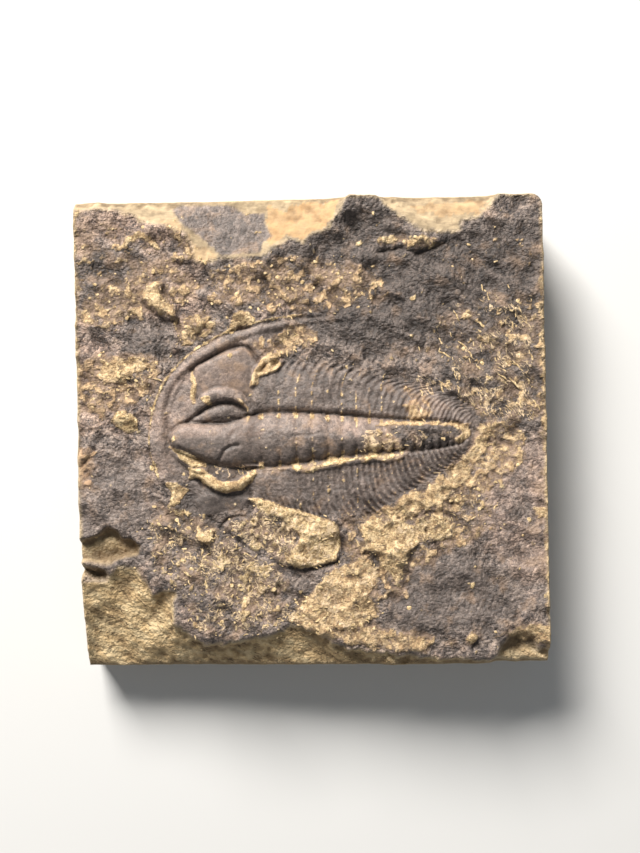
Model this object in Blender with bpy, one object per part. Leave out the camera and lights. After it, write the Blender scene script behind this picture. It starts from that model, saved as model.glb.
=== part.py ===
# Trilobite fossil lying in relief on a sawn block of stone, one solid.
# Metres, +Z up. X runs along the animal with its head at -X, and Y across it.
# The origin is in the middle of the flat underside.

import bmesh
import bpy
import numpy as np
from mathutils import Vector, noise

# Driving dimensions
SLAB_LENGTH = 0.100
SLAB_WIDTH = 0.1005
BEDDING_HEIGHT = 0.020
CORNER_RADIUS = 0.0025
FOSSIL_LENGTH = 0.068

# Plan outlines and relief heights below are in millimetres, from the slab's middle
# and from the bedding plane. They were drawn for a fossil 68 mm long.
MM = FOSSIL_LENGTH / 68
HALF_X = SLAB_LENGTH / MM / 2
HALF_Y = SLAB_WIDTH / MM / 2

GRID_CELLS = 260
TRIANGLE_TARGET = 9400
NAME = "trilobite_slab"

# The broken upper rim: the layer above the bedding ends at this line and falls away to +Y
RIM_CREST = [
    (-55, 48.3), (-45, 48.8), (-37, 47.3), (-35.7, 45.8), (-30, 44.9), (-26.9, 43.8), (-24.7, 41),
    (-24.5, 37.3), (-21.9, 36.7), (-19, 37.8), (-10.6, 37.8), (-7.8, 39.6), (-4.2, 41.6),
    (-1.4, 40.9), (1.4, 42.7), (4.2, 43.2), (5.3, 45.9), (7.8, 49.1), (9, 52), (12.5, 52),
    (15.9, 49.1), (17.7, 47), (21.2, 45.2), (23.7, 43.1), (28.3, 42.4), (32.2, 42.8),
    (32.5, 44.7), (35.7, 45.1), (38.2, 47), (39.6, 48.8), (42, 55),
]
RIM_CLOSE = [(42, 70), (-55, 70)]
RIM_CREST_HEIGHT = (
    [-50, -37, -25, -10, 0, 8, 12, 16, 24, 32, 40],
    [0.2, 0.35, 0.7, 1.0, 1.3, 2.2, 2.3, 1.6, 0.9, 0.7, 0.4])
RIM_FOOT_WIDTH = 5.0
RIM_EDGE_DROP = 3.4

# The broken corner at -X -Y and the tapering break along the -Y edge
BREAK_LINE = [
    (-55, -31), (-45, -31), (-42, -28), (-39, -28), (-36, -31), (-35, -34), (-30, -33.5),
    (-30, -40), (-27, -43), (-24, -44.5), (-15, -44), (-10, -43), (-5, -41), (0, -42.5),
    (5, -45.5), (13.5, -47), (25, -48.3), (37, -49.2), (55, -49.8),
]
BREAK_CLOSE = [(55, -70), (-55, -70)]
BREAK_DEPTH = ([-50, -35, -20, 0, 20, 40, 50], [8.6, 7.4, 6.0, 4.2, 2.4, 1.4, 1.0])
BREAK_STEP = 0.9
BREAK_LUMPS = 1.3
LUMP_SIZE = 6.5
OUTLINE_WANDER = 0.55
WANDER_SIZE = 2.6

# Hollows broken out of the edges: outline, depth, width of the slope round it
HOLLOWS = {
    "left_chip": (
        [(-53, -22), (-48, -21.5), (-45.5, -19.8), (-43.5, -19), (-41, -21.3), (-37.3, -22.8),
         (-37.5, -25), (-40, -26), (-45.5, -27.5), (-53, -26.5)], 3.0, 1.6),
    "left_notch": (
        [(-53, -26.3), (-47, -27.5), (-45, -28), (-44, -29.5), (-44.5, -31), (-47.5, -30.8),
         (-53, -30)], 5.0, 1.8),
    "right_chip": (
        [(37, -45.2), (41, -44.2), (44, -45), (46.5, -46.8), (49, -48.5), (53, -49), (53, -53),
         (38, -53)], 2.4, 1.5),
}

# The roll along the head shield's rim, from the lower cheek round the front to the genal spine
HEAD_RIM = [
    (-28.5, -10.8), (-31.3, -8.5), (-32.8, -4), (-33, 0), (-32.6, 4), (-31.7, 7), (-30.2, 10.2),
    (-28.3, 12.9), (-26, 15.2), (-23, 17.4), (-19, 19.6), (-15, 21.2), (-10, 22.5), (-4, 23.5),
    (2, 24.1), (8, 24.4), (14, 24.2),
]
HEAD_OUTLINE = [
    (-27, -10), (-32, -10), (-34.5, -3), (-34.5, 1), (-33.3, 6.5), (-30.5, 12), (-26.5, 16.3),
    (-19, 21), (-13, 22.8), (-6, 24.2), (-3, 22), (-10, 19), (-12, 14), (-12.5, -8), (-14, -16),
    (-24, -17.5),
]
HEAD_SWELL = 0.75

# The axial lobe between its two furrows, front to tail tip
AXIS_UPPER = ([-12, -4, 4, 12, 20, 26, 31, 33.5], [4.4, 4.4, 3.9, 3.0, 2.3, 2.0, 1.6, 0.2])
AXIS_LOWER = ([-12, -8, 0, 8, 20, 26, 32, 33.5], [-7.0, -6.8, -5.7, -4.7, -4.0, -3.6, -2.7, -1.0])
AXIS_HEIGHT = ([-13, -11, 0, 20, 31, 34], [2.0, 2.6, 2.7, 2.2, 1.4, 0.5])
AXIS_ENDS = (-13.5, 33.5)

# The ribbed flanks: outer edge of each, and their height
FLANK_UPPER = (
    [-12, 0, 6, 10, 14, 18, 24, 30, 34, 36],
    [15.5, 15, 13.8, 13, 12, 11.2, 10, 8, 6, 2])
FLANK_LOWER = (
    [-12, -6, 1, 10, 15, 20, 24, 29, 33, 35],
    [-14, -15.5, -17.5, -17.5, -16.5, -13.5, -11, -8, -4.8, -2])
FLANK_HEIGHT = 1.0
FLANK_FALL = 0.8
RIB_HEIGHT = 0.34
RIB_SWEEP = 2.8
RIB_SWEEP_POWER = 4.0
TIP_LENGTH = 0.07
RING_DEPTH = 0.55
FIRST_RING = -10.6
FIRST_RING_PITCH = 3.7
RING_PITCH_LOSS = 0.16
RING_COUNT = 18
RIBS_PER_RING = 2

# Raised plates: outline, height, width of the rounded edge
PLATES = {
    "cheek": (
        [(-25, 14.2), (-22, 16.2), (-18, 18), (-14.5, 18.7), (-12.8, 17.6), (-10.5, 14.8),
         (-11.5, 13), (-12.8, 9), (-15, 9.2), (-20, 9.2), (-24.6, 7.5)], 0.6, 1.2),
    "lower_cheek": (
        [(-24, -12), (-14, -12.5), (-13.5, -14), (-15, -16), (-24, -17.5), (-25.5, -14)], 0.3, 1.5),
    "leaf_flake": (
        [(-19.5, -19.5), (-18, -18), (-14, -17.6), (-12.5, -15.6), (-9, -14.8), (-5, -16), (0, -17.7),
         (4.5, -20), (6, -24), (4.5, -27.3), (2, -28), (-3, -28.9), (-8, -27.5), (-14, -23)], 0.75, 0.9),
    "left_lump": ([(-25, -20.5), (-23.5, -20), (-21, -20), (-22, -23), (-25.2, -21.5)], 0.7, 0.8),
    "lower_body": (
        [(11, -18), (20, -19), (28, -18), (30, -21), (27, -23.5), (20.5, -25.5), (19.5, -31.5),
         (16.5, -33), (13, -26), (10, -25.5)], 0.5, 1.2),
    "upper_flake": (
        [(14.5, 41), (18, 42), (23.5, 41.7), (28.5, 41), (29, 40.3), (25, 38.5), (21, 38.7),
         (19, 39.7), (14.7, 38.7)], 0.5, 0.7),
    "corner_flake": (
        [(-40, 42), (-37, 43.6), (-34, 43.6), (-31.1, 41), (-28, 38), (-25, 37), (-26, 43),
         (-34, 45.5)], 0.45, 0.8),
    "left_ledge": (
        [(-36, 27.5), (-33, 26), (-30, 25), (-28, 25.4), (-27.5, 30), (-33, 32), (-37, 30)], 0.6, 1.0),
    "corner_ledge": (
        [(40.5, -42.8), (44, -44), (46.5, -46.2), (49, -48), (53, -48), (53, -40), (44, -39)], 0.8, 1.0),
    "axis_fill": (
        [(-12, -5.5), (0, -4.5), (12, -3.5), (21, -3.5), (20.5, -5), (16, -6.7), (12, -6.5), (6, -7.4),
         (2, -7.9), (-2, -8.5), (-8, -7.7), (-12, -7.8)], 0.5, 0.5),
    "tail_band": (
        [(15, -16.5), (20, -13.4), (24, -11.6), (28, -9.2), (31, -6.7), (33.5, -4), (36, 1.5), (40, 2),
         (38, -3), (34.5, -9), (29.5, -14.5), (22, -18.5), (15, -20)], 0.3, 2.0),
}

# Round ridges: path, then heights and half widths evenly along it
RIDGES = {
    "head_border": (HEAD_RIM, (0.35, 0.75, 0.85, 0.5, 0.15), (1.4, 2.0, 1.6, 1.0, 0.5)),
    "upper_eye": (
        [(-25.3, 4.4), (-24, 6.4), (-22.3, 7.9), (-20.4, 8.6), (-18.2, 8.7), (-16, 8.2), (-14.2, 6.9),
         (-13, 4.9)], (0.5, 1.2, 0.8), (0.9, 1.6, 1.0)),
    "eye_lobe": ([(-24.5, 3.3), (-20, 4.7), (-17, 4.9), (-14.8, 4.2)], (0.4, 0.9, 0.5), (0.8, 1.5, 0.9)),
    "front_ridge": (
        [(-30.1, -2.9), (-27.6, -4.8), (-25.2, -6.4), (-23, -7.4)], (0.3, 0.85, 0.6), (0.6, 1.2, 0.9)),
    "lower_eye": (
        [(-25.4, -7.9), (-23.5, -8.3), (-22, -9.7), (-20, -10.9), (-18, -11.2), (-16, -10.8),
         (-14.5, -9.7), (-12.5, -7.9)], (0.7, 1.5, 0.7), (1.0, 1.45, 0.9)),
    "left_scrap": ([(-46.5, 5), (-47, 1), (-49.5, -4)], (0.5, 0.8, 0.6), (1.0, 1.3, 1.2)),
    "flank_seam": (
        [(-12.5, 11), (-11, 16.5), (-5, 18), (0, 19.8), (-4, 22)], (0.5, 0.6, 0.3), (1.0, 1.4, 1.0)),
}

# Furrows and cracks: path, depth, half width
FURROWS = {
    "border_furrow": (
        [(-25.5, 14), (-28, 12), (-29.5, 10.3), (-30.8, 8), (-31.2, 5), (-30.6, 2)], 0.5, 1.0),
    "eye_groove": (
        [(-26.5, 3), (-24, 4.8), (-22, 6), (-18, 7), (-15, 6.2), (-13.3, 4.4)], 0.5, 0.7),
    "eye_crease": ([(-29, 1.4), (-26, 2.6), (-22, 2.3), (-18, 2.3), (-14, 3.5)], 0.5, 0.7),
    "front_glabella_furrow": ([(-16.8, -2.5), (-18.5, -3.2), (-19.5, -4.8)], 0.35, 0.7),
    "flake_crack": ([(-20, -19.5), (-18, -17.8), (-14, -17.8), (-12.7, -18.8)], 0.4, 0.7),
}

# The glabella, the raised middle of the head
GLABELLA = [
    (-29.9, -2), (-30.3, -0.4), (-29.7, 1.1), (-28.3, 2.3), (-26, 2.8), (-22, 2.4), (-18, 2.5),
    (-14, 3.8), (-11, 4.4), (-10, -7.2), (-14, -7.2), (-18, -6.9), (-22, -6), (-26, -4.6), (-29, -3.1),
]
GLABELLA_HEIGHT = 2.3
GLABELLA_EDGE = ([-30, -26, -20, -12], [2.8, 3.6, 4.6, 5.6])
LOBE_BLEND = 0.3

# Small rounded knobs: middle x, middle y, radius, height
KNOBS = [
    (-38.5, 41.5, 1.3, 0.8), (-7.5, 15, 1.3, 0.6), (5, 26.3, 1.1, 0.7), (13.5, 29.7, 0.9, 0.6),
    (1, 33, 1.1, 0.7), (33, -44.5, 1.4, 0.8), (-40, 3, 2.1, 0.5), (-33, 30, 2.2, 0.6),
]

STONE_COLOUR = (0.33, 0.27, 0.20, 1.0)
STONE_ROUGHNESS = 0.85


def ramp(low, high, values):
    t = np.clip((values - low) / (high - low), 0, 1)
    return t * t * (3 - 2 * t)


def follow_path(x, y, points):
    # Distance from a path, and how far along it the nearest point lies, from 0 to 1
    nearest = np.full(x.shape, np.inf)
    share = np.zeros(x.shape)
    for k, ((ax, ay), (bx, by)) in enumerate(zip(points, points[1:])):
        length_squared = (bx - ax) ** 2 + (by - ay) ** 2
        t = np.clip(((x - ax) * (bx - ax) + (y - ay) * (by - ay)) / length_squared, 0, 1)
        distance = np.hypot(x - ax - t * (bx - ax), y - ay - t * (by - ay))
        share = np.where(distance < nearest, (k + t) / (len(points) - 1), share)
        nearest = np.minimum(nearest, distance)
    return nearest, share


def path_distance(x, y, points):
    return follow_path(x, y, points)[0]


def depth_inside(x, y, outline):
    # Distance from a closed outline, positive inside it
    inside = np.zeros(x.shape, bool)
    closed = outline + outline[:1]
    for (ax, ay), (bx, by) in zip(closed, closed[1:]):
        if ay == by:
            continue
        crosses = (ay > y) != (by > y)
        inside ^= crosses & (x < (bx - ax) * (y - ay) / (by - ay) + ax)
    distance = path_distance(x, y, closed)
    return np.where(inside, distance, -distance)


def rock_noise(x, y, size, octaves, seed):
    values = [
        noise.fractal(Vector((px / size, py / size, seed)), 0.9, 2.0, octaves)
        for px, py in zip(x.flat, y.flat)
    ]
    return np.array(values).reshape(x.shape)


def upper_rim(x, y):
    north = depth_inside(x, y, RIM_CREST + RIM_CLOSE)
    crest = np.interp(x, *RIM_CREST_HEIGHT)
    to_edge = np.maximum(HALF_Y - y, 0)
    share = np.maximum(north, 0) / (np.maximum(north, 0) + to_edge + 0.5)
    return crest * ramp(-RIM_FOOT_WIDTH, 0, north) - RIM_EDGE_DROP * share


def broken_corner(x, y):
    below = depth_inside(x, y, BREAK_LINE + BREAK_CLOSE)
    share = np.maximum(below, 0) / (np.maximum(below, 0) + np.maximum(HALF_Y + y, 0) + 0.3)
    fall = np.interp(x, *BREAK_DEPTH) * share ** 0.85
    lumps = BREAK_LUMPS * rock_noise(x, y, LUMP_SIZE, 3, 19.6) * ramp(0, 2.5, below)
    return lumps - BREAK_STEP * ramp(-0.8, 0.8, below) - fall


def ring_position(x):
    # Counts the rings from the head: whole numbers lie on the furrows between them
    edges = [FIRST_RING]
    for k in range(RING_COUNT):
        edges.append(edges[-1] + FIRST_RING_PITCH - RING_PITCH_LOSS * k)
    return np.interp(x, edges, range(len(edges)))


def axial_lobe(x, y):
    top = np.interp(x, *AXIS_UPPER)
    bottom = np.interp(x, *AXIS_LOWER)
    across = (2 * y - top - bottom) / (top - bottom)
    profile = np.sqrt(np.clip(1 - across ** 2, 0, 1))
    ring = np.abs(np.sin(np.pi * ring_position(x)))
    start, end = AXIS_ENDS
    on_axis = ramp(start - 5, start + 3, x) * ramp(end, end - 2.5, x)
    height = np.interp(x, *AXIS_HEIGHT) - RING_DEPTH * (1 - ring ** 0.6)
    return height * profile * on_axis


def flank(x, y, edge, axis_edge, side):
    # Each flank rises from the axial furrow, carries the ribs, and ends in a low step
    inner = np.interp(x, *axis_edge)
    outer = np.interp(x, *edge)
    across = (y - inner) / (outer - inner)
    swept = x - RIB_SWEEP * np.clip(across, 0, 1.15) ** RIB_SWEEP_POWER
    rib = np.cos(2 * np.pi * RIBS_PER_RING * ring_position(swept))
    start, end = AXIS_ENDS
    tips = across + TIP_LENGTH * rib
    body = ramp(-0.02, 0.16, across) * ramp(1.08, 0.9, tips)
    along = ramp(start, start + 2, x) * ramp(end + 3, end - 1, x)
    fall = 1 - FLANK_FALL * np.clip(across, 0, 1)
    wanted = (FLANK_HEIGHT * fall - RIB_HEIGHT * 0.5 * rib) * body * along
    return np.where(side * (y - inner) > 0, wanted, 0)


def glabella_and_lobe(x, y):
    # The glabella and the lobe behind it run into each other without a crease
    swell = np.clip(depth_inside(x, y, GLABELLA) / np.interp(x, *GLABELLA_EDGE), 0, 1)
    front = GLABELLA_HEIGHT * np.sqrt(swell * (2 - swell))
    lobe = axial_lobe(x, y)
    return 0.5 * (front + lobe + np.sqrt((front - lobe) ** 2 + LOBE_BLEND * np.minimum(front, lobe)))


def relief(x, y):
    z = 0.55 * rock_noise(x, y, 17, 3, 4.2)
    z += HEAD_SWELL * ramp(-0.8, 6.0, depth_inside(x, y, HEAD_OUTLINE))
    z += flank(x, y, FLANK_UPPER, AXIS_UPPER, 1) + flank(x, y, FLANK_LOWER, AXIS_LOWER, -1)
    for path, heights, half_widths in RIDGES.values():
        distance, share = follow_path(x, y, path)
        stations = np.linspace(0, 1, len(heights))
        across = distance / np.interp(share, stations, half_widths)
        z += np.interp(share, stations, heights) * np.sqrt(np.clip(1 - across ** 2, 0, 1))
    middle = glabella_and_lobe(x, y)
    z += middle
    for path, depth, half_width in FURROWS.values():
        z -= depth * np.exp(-(path_distance(x, y, path) / half_width) ** 2)
    for middle_x, middle_y, radius, height in KNOBS:
        across = np.hypot(x - middle_x, y - middle_y) / radius
        z += height * np.sqrt(np.clip(1 - across ** 2, 0, 1))
    return z + broken_rock(x, y, 1 - ramp(0, 0.6, middle))


def broken_rock(x, y, beside_lobe):
    # Broken edges wander, so their outlines are read at points moved a little by noise
    rough_x = x + OUTLINE_WANDER * rock_noise(x, y, WANDER_SIZE, 2, 11.7)
    rough_y = y + OUTLINE_WANDER * rock_noise(x, y, WANDER_SIZE, 2, 23.1)
    z = upper_rim(rough_x, rough_y) + broken_corner(rough_x, rough_y)
    for outline, height, edge in PLATES.values():
        inside = ramp(-edge * 0.4, edge * 0.6, depth_inside(rough_x, rough_y, outline))
        z += height * inside * beside_lobe
    for outline, depth, edge in HOLLOWS.values():
        z -= depth * ramp(-edge * 0.3, edge * 1.2, depth_inside(rough_x, rough_y, outline))
    return z


def round_corner(x, y):
    # Bends the square grid round the one worn corner, at +X +Y
    radius = CORNER_RADIUS / MM
    corner_x = np.maximum(x - (HALF_X - radius), 0)
    corner_y = np.maximum(y - (HALF_Y - radius), 0)
    longest = np.maximum(corner_x, corner_y)
    reach = np.hypot(corner_x, corner_y)
    scale = np.divide(longest, reach, out=np.ones_like(reach), where=reach > 0)
    return x - corner_x * (1 - scale), y - corner_y * (1 - scale)


def displace_top(mesh_data):
    mesh_data.verts.ensure_lookup_table()
    flat = np.array([vert.co[:2] for vert in mesh_data.verts]) / MM
    x, y = round_corner(flat[:, 0], flat[:, 1])
    z = relief(x, y)
    for vert, px, py, pz in zip(mesh_data.verts, x, y, z):
        vert.co = (px * MM, py * MM, BEDDING_HEIGHT + pz * MM)


def close_below(mesh_data):
    # Draws the edge of the top straight down to the underside and closes it
    rim = [edge for edge in mesh_data.edges if edge.is_boundary]
    drawn = bmesh.ops.extrude_edge_only(mesh_data, edges=rim)["geom"]
    for vert in (item for item in drawn if isinstance(item, bmesh.types.BMVert)):
        vert.co.z = 0
    lower = [item for item in drawn if isinstance(item, bmesh.types.BMEdge)]
    bmesh.ops.holes_fill(mesh_data, edges=lower)
    bmesh.ops.recalc_face_normals(mesh_data, faces=mesh_data.faces)


def stone_material():
    material = bpy.data.materials.new("stone")
    material.use_nodes = True
    shader = material.node_tree.nodes["Principled BSDF"]
    shader.inputs["Base Color"].default_value = STONE_COLOUR
    shader.inputs["Roughness"].default_value = STONE_ROUGHNESS
    shader.inputs["Metallic"].default_value = 0.0
    return material


def make_slab(collection):
    top = bmesh.new()
    bmesh.ops.create_grid(top, x_segments=GRID_CELLS, y_segments=GRID_CELLS, size=SLAB_LENGTH / 2)
    bmesh.ops.scale(top, vec=(1, SLAB_WIDTH / SLAB_LENGTH, 1), verts=top.verts)
    displace_top(top)
    close_below(top)
    bmesh.ops.triangulate(top, faces=top.faces)
    mesh = bpy.data.meshes.new(NAME)
    top.to_mesh(mesh)
    top.free()
    slab = bpy.data.objects.new(NAME, mesh)
    collection.objects.link(slab)
    slab.data.materials.append(stone_material())
    thin = slab.modifiers.new("Facets", "DECIMATE")
    thin.decimate_type = "COLLAPSE"
    thin.ratio = TRIANGLE_TARGET / len(mesh.polygons)
    return slab


def clear_scene():
    for item in list(bpy.data.objects):
        bpy.data.objects.remove(item, do_unlink=True)


def main():
    clear_scene()
    collection = bpy.data.collections.new("trilobite_fossil")
    bpy.context.scene.collection.children.link(collection)
    make_slab(collection)


main()
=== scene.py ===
# Trilobite fossil on a sawn slab: the stone's fine surface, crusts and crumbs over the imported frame
import math

import bpy
import numpy as np
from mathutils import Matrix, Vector, noise


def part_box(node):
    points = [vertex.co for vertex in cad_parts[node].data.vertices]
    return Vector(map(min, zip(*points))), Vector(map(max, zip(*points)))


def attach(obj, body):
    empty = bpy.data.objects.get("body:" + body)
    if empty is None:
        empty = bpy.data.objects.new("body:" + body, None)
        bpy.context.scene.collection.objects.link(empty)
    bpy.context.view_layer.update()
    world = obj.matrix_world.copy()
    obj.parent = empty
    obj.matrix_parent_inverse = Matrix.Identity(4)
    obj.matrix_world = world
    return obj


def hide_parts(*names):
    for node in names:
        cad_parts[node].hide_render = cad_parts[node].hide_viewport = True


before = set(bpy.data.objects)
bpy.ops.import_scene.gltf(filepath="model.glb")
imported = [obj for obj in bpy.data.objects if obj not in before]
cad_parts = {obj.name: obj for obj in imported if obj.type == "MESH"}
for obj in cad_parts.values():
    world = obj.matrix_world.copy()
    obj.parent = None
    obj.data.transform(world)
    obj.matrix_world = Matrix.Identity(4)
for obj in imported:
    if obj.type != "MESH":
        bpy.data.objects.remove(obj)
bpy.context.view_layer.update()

# plan outlines and heights are in mm, from the slab's middle and from the bedding plane
mm = 0.001
slabLow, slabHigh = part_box("trilobite_slab")
bedding = 0.020
halfX = (slabHigh[0] - slabLow[0]) / mm / 2
halfY = (slabHigh[1] - slabLow[1]) / mm / 2
print("frame loaded, slab", [round(2 * h, 1) for h in (halfX, halfY)], "mm")

# the surface mesh: fine over the animal, coarser out to the edges
slabMesh = {
    "finePitch": 0.285, "coarsePitch": 0.5, "coarsePitchY": 0.45,
    "fineX": (-36, 35), "fineY": (-20, 26), "blend": 5.0,
    "sideRows": 6, "cornerRadius": 2.5, "arris": 0.22, "sawWave": 0.06,
    "pitRounds": 14, "pitDepth": 0.3, "lightEdge": (0.9, 0.1), "bareEdge": (1.4, 3.2),
}

# broken upper rim: the layer over the bedding ends at this line and falls away to +Y
rim = {
    "crest": [
        (-55, 48.3), (-45, 48.8), (-40.3, 48), (-37, 47.3), (-35.7, 45.8), (-32.5, 45.2),
        (-30, 44.9), (-26.9, 43.8), (-24.7, 41), (-24.5, 37.3), (-21.9, 36.7), (-19, 37.8),
        (-15, 37.6), (-10.6, 37.8), (-7.8, 39.6), (-4.2, 41.6), (-1.4, 40.9), (1.4, 42.7),
        (4.2, 43.2), (5.3, 45.9), (7.8, 49.1), (9, 52), (12.5, 52), (15.9, 49.1), (17.7, 47),
        (21.2, 45.2), (23.7, 43.1), (28.3, 42.4), (32.2, 42.8), (32.5, 44.7), (35.7, 45.1),
        (38.2, 47), (39.6, 48.8), (42, 55)],
    "close": [(42, 70), (-55, 70)],
    "heightX": [-50, -37, -25, -10, 0, 8, 12, 16, 24, 32, 40],
    "height": [0.2, 0.35, 0.7, 1.0, 1.3, 2.2, 2.3, 1.6, 0.9, 0.7, 0.4],
    "foot": 5.0, "edgeDrop": 3.4, "least": 0.5,
}

# broken corner at -X -Y and the tapering break along the lower edge
# facets have a height, a size, a seed, a stretch and a lean
fracture = {
    "line": [
        (-55, -31), (-45, -31), (-42, -28), (-39, -28), (-36, -31), (-35, -34), (-32, -33),
        (-30, -33.5), (-30, -40), (-27, -43), (-24, -44.5), (-18, -44.5), (-15, -44), (-10, -43),
        (-5, -41), (0, -42.5), (5, -45.5), (9, -46.5), (13.5, -47), (25, -48.3), (37, -49.2),
        (55, -49.8),
    ],
    "close": [(55, -70), (-55, -70)],
    "depthX": [-50, -35, -20, 0, 20, 40, 50],
    "depth": [8.6, 7.4, 6.0, 4.2, 2.4, 1.4, 1.0],
    "curve": 0.85, "least": 0.3, "step": 0.9, "stepWidth": 0.8,
    "lumps": 0.4, "lumpSize": 6.5, "lumpFade": 2.5, "facets": 0.34, "facetFade": 1.2,
    "facetSizes": [(1.0, 5.2, 5, 1.8, -35), (0.8, 2.4, 6, 2.6, -35), (0.8, 1.1, 7, 2.4, -35)],
}

# hollows out of the edges: outline, depth, width of the slope
hollows = {
    "leftChip": (
        [(-53, -22), (-48, -21.5), (-45.5, -19.8), (-43.5, -19), (-42.5, -20), (-41, -21.3),
         (-37.3, -22.8), (-37.5, -25), (-40, -26), (-45.5, -27.5), (-53, -26.5)], 3.0, 0.9),
    "leftNotch": (
        [(-53, -26.3), (-47, -27.5), (-45, -28), (-44, -29.5), (-44.5, -31), (-47.5, -30.8),
         (-53, -30)], 5.0, 1.8),
    "rightChip": (
        [(37.5, -48.5), (39.5, -45.8), (41.5, -43.8), (43.2, -43.1), (46, -44.8), (48, -46.4),
         (53, -47.6), (53, -53), (38, -53)], 2.4, 1.3),
}

# raised plates and flakes: outline, height, edge width, how much the outline wanders
plates = {
    "leafFlake": (
        [(-19.5, -19.5), (-18, -18), (-16, -17.4), (-14, -17.6), (-12.5, -15.6), (-14.2, -13.4),
         (-13, -13.5), (-9, -14.6), (-5, -16), (0, -17.5), (3, -18.5), (4.7, -20), (6, -24),
         (5.5, -26), (4.5, -27.3), (2, -28), (0, -28.7), (-3, -28.9), (-7, -28), (-9, -26.5),
         (-14, -24)], 0.75, 0.7, 0.5),
    "leftLump": (
        [(-25, -20.5), (-23.5, -20), (-21, -20), (-21.2, -21.5), (-22, -23), (-24, -23),
         (-25.2, -21.5)], 0.8, 0.8, 0.2),
    "foldedTip": (
        [(-6.5, -27.6), (-4.5, -25.5), (-3, -26), (0, -27.5), (-3, -28.4)], 0.5, 0.5, 0.2),
    "lowerBody": (
        [(11, -18), (14, -17.5), (20, -19), (24, -17.5), (28, -18), (30, -20), (30, -22.5),
         (27, -23.5), (22, -24), (20.5, -25.5), (20, -28), (19.5, -31.5), (18, -33), (16.5, -33),
         (15.5, -31), (14.5, -28), (13, -26), (10, -25.5), (10, -22)], 0.5, 1.0, 1.0),
    "upperFlake": (
        [(14.5, 41), (16, 42), (18, 42), (20, 41.3), (23.5, 41.5), (25, 40.6), (28, 40.8),
         (29, 40.3), (27, 39.5), (25, 38.5), (23, 38.2), (21, 38.7), (20, 39.5), (19, 39.7),
         (17, 39), (14.7, 38.7)], 0.45, 0.5, 0.9),
    "cornerFlake": (
        [(-40, 42), (-39, 41.3), (-37, 43), (-35, 43.3), (-32.5, 42), (-31.1, 40.3), (-29.5, 38),
         (-28, 37.3), (-25, 37), (-26, 43), (-34, 45.5)], 0.4, 0.6, 0.6),
    "leftLedge": (
        [(-36, 29.5), (-34.7, 32.6), (-32.8, 33.2), (-30.9, 33), (-31.6, 30.5), (-29.6, 29.2),
         (-28.2, 27.5), (-28.2, 24.8), (-30.5, 24.8), (-33, 26), (-34.5, 27.8)], 0.7, 0.5, 0.6),
    "cornerLedge": (
        [(42.2, -42.2), (45, -43.4), (48, -45.6), (53, -46.9), (53, -40), (44, -39)],
        0.8, 0.8, 0.6),
    "axisFill": (
        [(-12, -5.5), (0, -4.5), (12, -3.5), (21.6, -4.0), (19.8, -5.0), (18.2, -6.1), (15.5, -6.4),
         (13.5, -6.0), (12, -6.4), (8, -6.9), (6, -7.3), (2, -7.8), (0, -8.3), (-2, -8.4),
         (-4, -8.0), (-8, -7.6), (-12, -7.8)], 0.34, 0.35, 0.8),
    "tailBand": (
        [(15, -16.5), (17, -15), (20, -13.6), (22, -12.5), (24, -11.2), (27, -9.7), (29, -8.2),
         (31, -6.3), (33, -4), (36, 1.5), (40, 2), (38, -3), (34.5, -9), (29.5, -14.5), (22, -18.5),
         (15, -20)], 0.3, 2.0, 1.0),
}

head = {
    "outline": [
        (-27, -10), (-32, -10), (-34.5, -3), (-34.5, 1), (-33.3, 6.5), (-30.5, 12), (-26.5, 16.3),
        (-19, 21), (-13, 22.8), (-6, 24.2), (-3, 22), (-10, 19), (-12, 14), (-12.5, -8), (-14, -16),
        (-24, -17.5)],
    "swell": 0.75,
    "core": [
        (14.4, 1.7), (16.3, 1.3), (21.2, 1.4), (27, 1.3), (30.6, 0.9), (31.9, -0.2), (30.1, -2),
        (24.9, -3.3), (21, -4), (18.5, -2), (16.5, 0)],
    "cheek": [
        (-25, 14.2), (-24, 15.1), (-22, 16.1), (-20, 17), (-18, 17.8), (-16, 18.4), (-14.5, 18.5),
        (-12.8, 17.4), (-10.5, 14.6), (-11.5, 13), (-12.8, 8.2), (-15, 8.4), (-20, 8.4),
        (-24.4, 7)],
    "cheekHeight": 0.75, "cheekFall": 0.8, "lowerCheekHeight": 0.3,
    "lowerCheek": [(-24, -12.4), (-14, -13), (-13.5, -14), (-15, -16), (-24, -17.5), (-25.5, -14)],
    "glabella": [
        (-29.9, -2), (-30.3, -0.4), (-29.7, 1.1), (-28.3, 2.3), (-26, 2.8), (-22, 2.4), (-18, 2.5),
        (-14, 3.8), (-11, 4.4), (-10, -7.2), (-14, -7.2), (-18, -6.9), (-22, -6), (-26, -4.6),
        (-29, -3.1)],
    "glabellaHeight": 2.3, "edgeX": [-30, -26, -20, -12], "edge": [1.3, 2.5, 4.2, 5.6],
}

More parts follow.
